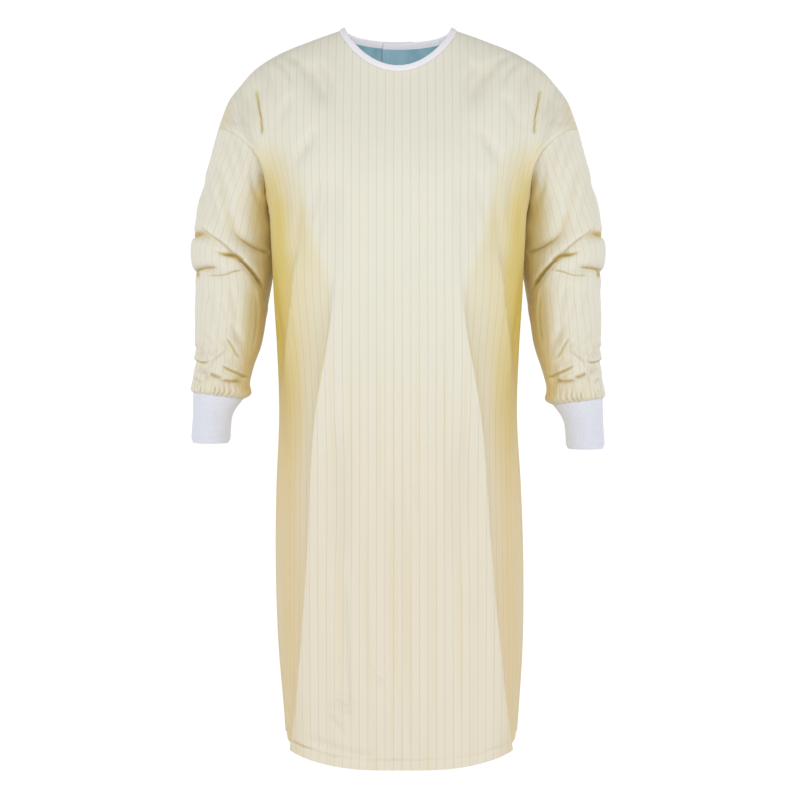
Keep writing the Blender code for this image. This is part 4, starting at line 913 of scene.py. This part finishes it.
def panelZones(grid, normals, lift, shade):  # painted shade: where the cloth goes yellower at the sides and where it turns away, browner lower down, or into a fold's shade
    across = np.abs(grid[..., 0] - smoothCurve(grid[..., 2], torsoTable["height"], torsoTable["centre"]))
    z = grid[..., 2]
    begin = {name: smoothCurve(z, sideZone["height"], sideZone[name]) for name in sideZone}
    streaks = 0.85 + 0.45 * valueNoise(across / 0.016 + 20, z / 0.22, 17)
    paintedYellowShade = begin["strength"] * streaks * ease(across, begin["from"], begin["from"] + begin["soft"])
    halfWidth = smoothCurve(z, torsoTable["height"], torsoTable["halfWidth"])
    rim = ease(across, halfWidth - zoneLook["rim"], halfWidth - zoneLook["rimFull"]) * ease(-z, 0.17, 0.28)
    rim = rim * (1 - 0.35 * ease(-z, 0.55, 0.85))
    paintedYellowShade = paintedYellowShade + (1 - paintedYellowShade) * rim * (0.85 + 0.25 * valueNoise(across / 0.012, z / 0.15, 19))
    paintedYellowShade = np.maximum(paintedYellowShade, zoneLook["turnedAway"] * ease(np.abs(normals[..., 0]), 0.6, 1.0))
    paintedYellowShade = np.maximum(paintedYellowShade, zoneLook["inTroughs"] * ease(-lift, 0.006, 0.016))
    cap = ease(across, 0.14, 0.23) * ease(z, -0.21, -0.13)
    shade = np.maximum(shade, zoneLook["capShade"] * cap)
    # painted shade in soft streaks down the lower body
    streaks = ease(valueNoise(across / 0.007, z / 0.30, 23), 0.0, 0.9)
    paintedYellowShade = np.maximum(paintedYellowShade, panelLook["streaks"] * streaks * ease(-z, 0.40, 0.62))
    paintedYellowShade = np.maximum(paintedYellowShade, paintedFoldYellowing(shade))
    return {"paintedYellowShade": np.clip(paintedYellowShade, 0, 1), "paintedLowShade": ease(-z, 0.36, 0.80), "folded": paintedFoldShade(shade)}


def paintedFoldShade(shade):  # painted shade: soft folds go a little darker, and the deepest go brown
    shade = np.clip(shade, 0, 1)
    return foldShade["soft"] * shade + foldShade["deep"] * shade**2


def panelCrumple(base, stripes, facing):  # more of it beside the shoulders than low down
    x, z = np.abs(base[..., 0]), base[..., 2]
    more = ease(x, 0.09, 0.20) * ease(z, -0.40, -0.25)
    high = panelLook["crumpleLow"] + (panelLook["crumpleHigh"] - panelLook["crumpleLow"]) * more
    seed = 11 if facing < 0 else 31
    return crumple(stripes, z, seed, panelLook["crumpleTall"], panelLook["crumpleWide"]) * high


def hemDetail(base, us, facing, stripes):  # groove and puckers of the turned hem, and the shade in them
    look = panelLook
    level = np.zeros_like(stripes)
    fromHem = base[..., 2] - hemHeight(us, facing)
    aboveStitch = fromHem - look["hemDeep"]
    pucker = np.sin(stripes * 2 * math.pi / look["puckerPitch"] + 3 * valueNoise(stripes / 0.02, level, 5))
    pucker = pucker * (0.35 + 0.65 * np.abs(valueNoise(stripes / 0.05, level, 8)))
    drawn = 0.6 + 0.9 * ease(-base[..., 0], -0.01, 0.03)  # more drawn up on the wearer's right
    hem = look["hemThick"] * (aboveStitch < 0)
    hem = hem - look["hemGroove"] * np.exp(-((aboveStitch / look["grooveWide"]) ** 2))
    hem = hem + look["hemPucker"] * drawn * pucker * np.exp(-((aboveStitch / look["puckerReach"]) ** 2))
    wavy = aboveStitch - look["drawnUp"] - look["drawnWave"] * valueNoise(stripes / 0.012, level, 6)
    drawn = drawn * (0.5 + 0.5 * valueNoise(stripes / 0.03, level, 7))
    return hem, look["drawnShade"] * drawn * np.exp(-((wavy / look["drawnWide"]) ** 2))


def acrossSeam(side):  # from the body to the sleeve, through the drop seam
    return np.array((side * 0.72, 0, -0.69))


def finishEdges(u, facing, grid, normals):  # each edge stands half a seam's gap off its neighbour
    half = clothCut["seamGap"] / 2
    body = fineness["bodyRows"]
    for column in np.flatnonzero(np.abs(u) == 1):
        side = u[column]
        normals[:body, column] = (side, 0, 0)
        around = armholeNormals(side, 2 * fineness["yokeRows"])
        turn = np.arange(fineness["yokeRows"] + 1)
        normals[body:, column] = around[turn if facing < 0 else -turn]
        grid[body:, column] -= half * acrossSeam(side)
        grid[: body + 1, column, 1] += half * facing
    share = clothCut["neckShare"]
    onShoulder = np.abs(u) >= share - 1e-9
    past = np.clip((np.abs(u) - share) / (1 - share), 0, 1)
    run = mirrored(shoulderLine(np.minimum(past + 0.01, 1)) - shoulderLine(np.maximum(past - 0.01, 0)), u)
    upward = unitRows(np.cross(run, pointsOf(0, 1, 0)))
    upward = upward * np.sign(upward[:, 2:])
    normals[-1, onShoulder] = upward[onShoulder]
    grid[-1, onShoulder, 1] += half * facing
    onNeck = np.abs(u) <= share + 1e-9
    grid[-1, onNeck] -= half * neckUp(u[onNeck] / share, facing)
    normals[-1, onNeck] = neckOut(u[onNeck] / share, facing)


def makePanel(name, us, facing, sunk=None):
    rows = fineness["bodyRows"] + fineness["yokeRows"] + 1
    us = np.tile(us, (rows, 1)) if us.ndim == 1 else us
    base = panelSurface(us, facing)
    normals = panelNormals(base, facing)
    stripes = stripeCoordinate(base, us, facing)
    fromSide = ease(1 - np.abs(us), 0, panelLook["stillSide"])
    fromTop = np.minimum(1, (rows - 1 - np.arange(rows)) / (panelLook["stillTop"] * fineness["yokeRows"]))
    lift, shade = creaseLifts(base, frontCreases if facing < 0 else backCreases)
    small = panelCrumple(base, stripes, facing)
    hem, hemShade = hemDetail(base, us, facing, stripes)
    shade = np.maximum(shade, hemShade)
    grid = base + normals * ((lift + small) * fromSide * fromTop[:, None] + hem * fromSide)[..., None]
    values = {"stripeAt": stripes, **panelZones(base, normals, lift, shade)}
    normals = panelNormals(grid, facing)
    finishEdges(us[-1], facing, grid, normals)
    if sunk is not None:
        grid = grid - normals * sunk[..., None]
    piece = addWall(name + "_cloth", grid, grid - clothCut["wall"] * normals, False,
                    [finish["cloth"], finish["coating"]], values)
    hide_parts(name)
    return piece, us[-1], grid, normals


def neckUp(turn, facing):
    return unitRows(neckLine(turn, facing, neckTop) - neckLine(turn, facing, neckCut))


def neckOut(turn, facing):
    run = neckLine(turn + 0.01, facing, neckCut) - neckLine(turn - 0.01, facing, neckCut)
    out = unitRows(np.cross(run, neckUp(turn, facing)))
    return out * facing * np.sign(out[:, 1:2].sum())


def snapped(us):
    us = us.copy()
    for point in (-clothCut["neckShare"], clothCut["neckShare"]):
        if us.min() < point < us.max():
            us[np.abs(us - point).argmin()] = point
    return us


def makeBack(side, name):  # the wearer's left one (side 1) laps under the other
    rows = fineness["bodyRows"] + fineness["yokeRows"] + 1
    us = snapped(side * np.linspace(1, 0, fineness["backColumns"] + 1))
    ends = np.linspace(0, clothCut["lapProbe"], 6)[1:]
    us = np.tile(np.append(us, -side * ends), (rows, 1))
    reached = np.abs(panelSurface(us, 1)[:, -1, 0])
    us[:, -5:] *= (clothCut["lap"] / reached)[:, None]
    sunk = None
    if side > 0:
        sunk = clothCut["underLap"] * (1 - ease(side * us, clothCut["lapFull"], clothCut["lapStart"]))
    return makePanel(name, us, 1, sunk)


toSide = np.linspace(0, 1, fineness["frontHalfColumns"] + 1)
front = makePanel("front_panel", snapped(np.concatenate([-toSide[:0:-1], toSide])), -1)
backRight = makeBack(-1, "back_panel_right")
backLeft = makeBack(1, "back_panel_left")
print("panels made")


# Sleeves and cuffs

sleeveLook = {"crumple": 0.0011, "crumpleTall": 0.040, "crumpleWide": 0.020,
              "twistUpper": 0.08, "twistLower": 0.07,
              "gathers": 34, "gatherDeep": 0.0020, "gatherShade": 0.55,
              "gatherFrom": 0.385, "gatherFull": 0.412}


def gatherDetail(down, turn):  # small pleats drawn into the cuff, and the shade between them
    uneven = 1.4 * valueNoise(turn * 2.2, down * 14, 9)
    pleats = 2 * np.abs(np.sin(turn * sleeveLook["gathers"] / 2 + uneven)) - 1
    drawnIn = ease(down, sleeveLook["gatherFrom"], sleeveLook["gatherFull"])
    drawnIn = drawnIn * (0.6 + 0.4 * valueNoise(turn * 3.1, down * 5, 12))
    lift = sleeveLook["gatherDeep"] * pleats * drawnIn * (1 - 0.75 * ease(down, 0.414, 0.422))
    return lift, sleeveLook["gatherShade"] * drawnIn * ease(-pleats, 0.35, 1.0)


def sleeveFolds(base, normals):  # the front's creases give way to the back's round the arm
    facing = -normals[..., 1]
    toFront, toBack = ease(facing, -0.35, 0.15), ease(-facing, 0.0, 0.35)
    lift, shade = creaseLifts(base, sleeveCreases)
    behind, behindShade = creaseLifts(base, sleeveBackCreases)
    return lift * toFront + behind * toBack, np.maximum(shade * toFront, behindShade * toBack)


def sleeveZones(side, normals, down, turn, lift, shade):  # painted shade: yellower towards the body, where less light reaches, and in troughs and folds
    paintedYellowShade = zoneLook["sleeveInside"] - 0.04 * ease(down, 0.24, 0.30)
    paintedYellowShade = paintedYellowShade * ease(-side * normals[..., 0], 0.34, 0.95)
    paintedYellowShade = np.maximum(paintedYellowShade, zoneLook["sleeveTroughs"] * ease(-lift, 0.0030, 0.011))
    patchy = ease(valueNoise(turn * 3, down * 30, 15), -0.4, 0.6)
    paintedYellowShade = np.maximum(paintedYellowShade, zoneLook["patches"] * ease(down, 0.30, 0.36) * patchy)
    paintedYellowShade = np.maximum(paintedYellowShade, paintedFoldYellowing(shade))
    # painted shade: browner further down the arm
    paintedLowShade = np.tile(0.20 + 0.30 * ease(down, 0.22, 0.40), (1, turn.size))
    return {"paintedYellowShade": np.clip(paintedYellowShade, 0, 1), "folded": paintedFoldShade(shade), "paintedLowShade": paintedLowShade}


def makeSleeve(side, name):
    base = sleeveSurface(side)
    baseNormals = tubeNormals(base)
    count = fineness["sleeveRound"]
    turn = np.arange(count)[None] * 2 * math.pi / count
    down = sleeveDowns()[:, None]
    share = down / sleeveTable["down"][-1]
    steps = np.linalg.norm(np.roll(base, -1, axis=1) - base, axis=-1)
    along = np.concatenate([np.zeros((len(base), 1)), np.cumsum(steps, axis=1)], axis=1)
    along = along - along[:, count // 2][:, None]  # metres round the arm from its outer line

    lift, shade = sleeveFolds(base, baseNormals)
    small = crumple(along[:, :-1] + 0.3 * down, down, 51 if side < 0 else 71,
                    sleeveLook["crumpleTall"], sleeveLook["crumpleWide"])
    small = small * sleeveLook["crumple"] * (0.45 + 0.55 * ease(down, 0.28, 0.36))
    lift = (lift + small) * ease(share, 0, 0.125) * ease(1 - share, 0, 0.083)
    gathers, gatherShade = gatherDetail(down, turn)
    lift, shade = lift + gathers, np.maximum(shade, gatherShade)

    grid = base + baseNormals * lift[..., None]
    normals = tubeNormals(grid)
    normals[0] = armholeNormals(side, count)
    grid[0] += clothCut["seamGap"] / 2 * acrossSeam(side)
    grid[-1, :, 2] += clothCut["seamGap"] / 2
    zones = sleeveZones(side, baseNormals, down, turn, lift, shade)
    values = {label: np.append(each, each[:, :1], axis=1) for label, each in zones.items()}
    twist = sleeveLook["twistUpper"] * down + sleeveLook["twistLower"] * np.maximum(0, down - 0.24)
    values["stripeAt"] = along - twist
    piece = addWall(name + "_cloth", grid, grid - clothCut["wall"] * normals, True,
                    [finish["cloth"], finish["coating"]], values)
    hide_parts(name)
    return piece


cuffLook = {"mouthDrawn": 0.0028, "ribDeep": 0.00075, "sag": 0.0008}


def makeCuff(side, name):
    drop = clothCut["leftCuffDrop"] if side > 0 else 0
    count = fineness["cuffRibs"] * fineness["pointsOnRib"]
    downs = np.linspace(0, cuffTable["down"][-1], fineness["cuffRows"])
    base = np.array([tubeRing(cuffTable, down, side, drop, count) for down in downs])
    normals = tubeNormals(base)
    turn = np.arange(count)[None] * 2 * math.pi / count
    rib = np.cos(turn * fineness["cuffRibs"]) * 0.5 - 0.5
    soft = valueNoise(turn * 2.0, downs[:, None] * 30, 21 if side < 0 else 23)
    swell = cuffLook["ribDeep"] * rib + cuffLook["sag"] * soft * ease(downs, 0, 0.01)[:, None]
    grid = base + normals * swell[..., None]
    full = 0.35 + 0.65 * ease(downs[-1] - downs, 0, clothCut["cuffWall"])[:, None, None]  # a rounded mouth
    drawn = cuffLook["mouthDrawn"] * (1 - ease(downs[-1] - downs, 0, 0.008))[:, None, None]
    grid[0, :, 2] -= clothCut["seamGap"] / 2
    grid = grid - normals * drawn
    inner = base - normals * (clothCut["cuffWall"] + drawn)
    middle = (grid + inner) / 2
    piece = addWall(name + "_rib", middle + (grid - middle) * full, middle + (inner - middle) * full, True,
                    [finish["ribKnit"], finish["ribKnit"]])
    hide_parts(name)
    return piece


sleeveRight = makeSleeve(-1, "sleeve_right")
sleeveLeft = makeSleeve(1, "sleeve_left")
cuffRight = makeCuff(-1, "cuff_right")
cuffLeft = makeCuff(1, "cuff_left")
print("sleeves and cuffs made")


# Neck binding

bindingLook = {"rows": 14, "puff": 0.0004, "stitchUp": 0.0018, "grooveDeep": 0.0004,
               "ripple": 0.00018, "rippleLength": 0.0065, "rounding": 0.14}


def makeBinding():
    share = clothCut["neckShare"]
    stations = []
    for panel, facing, chosen in (
        (backRight, 1, lambda u: np.flatnonzero(u >= -share - 1e-9)[::-1]),
        (front, -1, lambda u: np.flatnonzero(np.abs(u) < share - 1e-9)),
        (backLeft, 1, lambda u: np.flatnonzero(u <= share + 1e-9)),
    ):
        _, us, grid, normals = panel
        pick = chosen(us)
        upward = neckUp(us[pick] / share, facing)
        stations.append(np.stack([grid[-1, pick], normals[-1, pick], upward], axis=1))
    stations = np.concatenate(stations)
    edge, out, up = stations[:, 0], stations[:, 1], unitRows(stations[:, 2])
    tall = np.linalg.norm(neckLine(np.array([0.0]), -1, neckTop) - neckLine(np.array([0.0]), -1, neckCut))
    rise = np.linspace(0, 1, bindingLook["rows"]) ** 0.85
    height = clothCut["seamGap"] + (tall - clothCut["seamGap"]) * rise
    past = np.maximum(rise - 1 + bindingLook["rounding"], 0) / bindingLook["rounding"]
    full = np.sqrt(np.maximum(0, 1 - past**2)) * 0.85 + 0.15
    groove = np.exp(-(((height - bindingLook["stitchUp"]) / 0.0008) ** 2))
    profile = (clothCut["bindingWall"] / 2) * full + bindingLook["puff"] * np.sin(math.pi * rise)
    profile = profile - bindingLook["grooveDeep"] * groove
    along = np.concatenate([[0], np.cumsum(np.linalg.norm(np.diff(edge, axis=0), axis=1))])
    slanting = along[None] + 0.35 * height[:, None]
    wave = bindingLook["ripple"] * np.sin(slanting * 2 * math.pi / bindingLook["rippleLength"])
    wave = wave * (0.5 + valueNoise(along[None] / 0.02, height[:, None] * 0, 14))
    centre = edge - out * clothCut["wall"] / 2
    middle = centre[None] + up[None] * height[:, None, None]
    outer = middle + out[None] * (profile[:, None] + wave)[..., None]
    inner = middle - out[None] * (profile[:, None] + wave)[..., None]
    piece = addWall("neck_binding_tape", outer, inner, False, [finish["tape"], finish["tape"]])
    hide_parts("neck_binding")
    normals = np.tile(out[None], (len(height), 1, 1))
    return piece, outer, inner, normals


binding, tapeOuter, tapeInner, tapeOut = makeBinding()
print("binding made")


# Sewing

def seamSide(panel, edge, distance):
    grid, normals = panel[2:]
    return insetLine(grid, normals, edge, distance)


def dropSeams(panel):  # topstitching on the cap side of both drop seams
    _, us, grid, normals = panel
    rows = slice(fineness["bodyRows"], len(grid))
    lines = []
    for edge, column in (("start", 0), ("end", -1)):
        if abs(us[column]) == 1:
            lines.append(insetLine(grid[rows], normals[rows], edge, stitching["fromSeam"]))
    return lines


hemStitches = addStitches("hem_stitching", [
    seamSide(front, "bottom", panelLook["hemDeep"]),
    seamSide(backRight, "bottom", panelLook["hemDeep"]),
    seamSide(backLeft, "bottom", panelLook["hemDeep"])])
addStitches("drop_seam_stitching", dropSeams(front) + dropSeams(backRight) + dropSeams(backLeft))
lapLines = [seamSide(backRight, "end", stitching["fromLap"])]
underLine, underOut = seamSide(backLeft, "end", stitching["fromLap"])
lapLines.append((underLine - underOut * clothCut["wall"], -underOut))
lapLines.append((underLine, underOut))
lapStitches = addStitches("lap_stitching", lapLines)
tapeLine, tapeNormal = insetLine(tapeOuter, tapeOut, "bottom", bindingLook["stitchUp"])
tapeBack, tapeBackNormal = insetLine(tapeInner, -tapeOut, "bottom", bindingLook["stitchUp"])
tapeStitches = addStitches("binding_stitching", [(tapeLine, tapeNormal), (tapeBack, tapeBackNormal)])
tapeStitches.data.materials[0] = finish["tape"]
print("sewing made")


# Press studs keep their solids and take the metal
for number in (1, 2, 3):
    for part in ("cap", "socket", "post"):
        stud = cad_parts["press_stud_%d_%s" % (number, part)]
        stud.data.materials.clear()
        stud.data.materials.append(finish["nickel"])
        stud.data.shade_smooth()


# Studio

studio = {
    "floor": -2.9, "wallRadius": 6.8, "wallHeight": 7.0, "curve": 1.2, "curveSteps": 16, "turns": 96,
    "floorPaper": "#C8C8C8", "wallPaper": "#303030", "glow": 1.0, "world": 0.42,
    "cameraBack": 3.0, "lens": 86.5, "aim": (0.003, 0.0, -0.580),
}

softLights = (  # name, place, aim, width and height, watts
    ("key", (0.0, -3.6, 0.9), (0.0, 0.0, -0.55), (2.2, 1.6), 9.0),
    ("leftFill", (-2.4, -2.6, -0.9), (-0.25, 0.0, -0.5), (1.2, 2.0), 14.0),
    ("rightFill", (2.4, -2.6, -0.9), (0.25, 0.0, -0.5), (1.2, 2.0), 14.0),
    # stands for light that comes through the back's pale cloth, seen only in the neck opening
    ("throughBack", (0.0, -0.03, -0.13), (0.0, 0.075, -0.035), (0.13, 0.04), 0.09),
)


def makeBackdrop():  # a pale round floor whose white paper wall curves up on every side
    flat = studio["wallRadius"] - studio["curve"]
    profile = [(0.01, 0.0), (flat, 0.0)]
    for k in range(1, studio["curveSteps"] + 1):
        turn = k / studio["curveSteps"] * math.pi / 2
        profile.append((flat + studio["curve"] * math.sin(turn), studio["curve"] * (1 - math.cos(turn))))
    profile.append((studio["wallRadius"], studio["wallHeight"]))
    count = studio["turns"]
    vertices, faces = [], []
    for radius, height in profile:
        for k in range(count):
            turn = k * 2 * math.pi / count
            vertices.append((radius * math.cos(turn), radius * math.sin(turn), studio["floor"] + height))
    for low in range(0, (len(profile) - 1) * count, count):
        for k in range(count):
            ahead = (k + 1) % count
            faces.append((low + k, low + ahead, low + count + ahead, low + count + k))
    mesh = bpy.data.meshes.new("backdrop")
    mesh.from_pydata(vertices, [], faces)
    mesh.shade_smooth()
    # the wall glows white, and its dark colour keeps that light from going round and round
    for name, colour, glow in (("white backdrop paper", studio["wallPaper"], studio["glow"]),
                               ("grey floor paper", studio["floorPaper"], 0.0)):
        made, _, shader = newMaterial(name, 0.9)
        shader.inputs["Base Color"].default_value = linearColour(colour)
        shader.inputs["Emission Color"].default_value = linearColour("#FFFFFF")
        shader.inputs["Emission Strength"].default_value = glow
        mesh.materials.append(made)
    mesh.polygons.foreach_set("material_index", [1] * count + [0] * (len(faces) - count))
    piece = bpy.data.objects.new("backdrop", mesh)
    bpy.context.scene.collection.objects.link(piece)


def addSoftLight(name, place, target, size, power):
    data = bpy.data.lights.new(name, "AREA")
    data.shape = "RECTANGLE"
    data.size, data.size_y = size
    data.energy = power
    light = bpy.data.objects.new(name, data)
    bpy.context.scene.collection.objects.link(light)
    light.location = place
    light.rotation_euler = (Vector(target) - Vector(place)).to_track_quat("-Z", "Y").to_euler()


def makeStudio():
    scene = bpy.context.scene
    makeBackdrop()
    for light in softLights:
        addSoftLight(*light)
    world = bpy.data.worlds.new("studio air")
    world.use_nodes = True
    world.node_tree.nodes["Background"].inputs["Color"].default_value = (1, 1, 1, 1)
    world.node_tree.nodes["Background"].inputs["Strength"].default_value = studio["world"]
    scene.world = world
    scene.view_settings.view_transform = "Standard"
    camera = bpy.data.objects.new("camera", bpy.data.cameras.new("camera"))
    scene.collection.objects.link(camera)
    camera.data.lens = studio["lens"]
    camera.data.sensor_width = 36
    camera.location = Vector(studio["aim"]) - Vector((0, studio["cameraBack"], 0))
    camera.rotation_euler = (math.radians(90), 0, 0)
    scene.camera = camera


makeStudio()
print("studio ready")
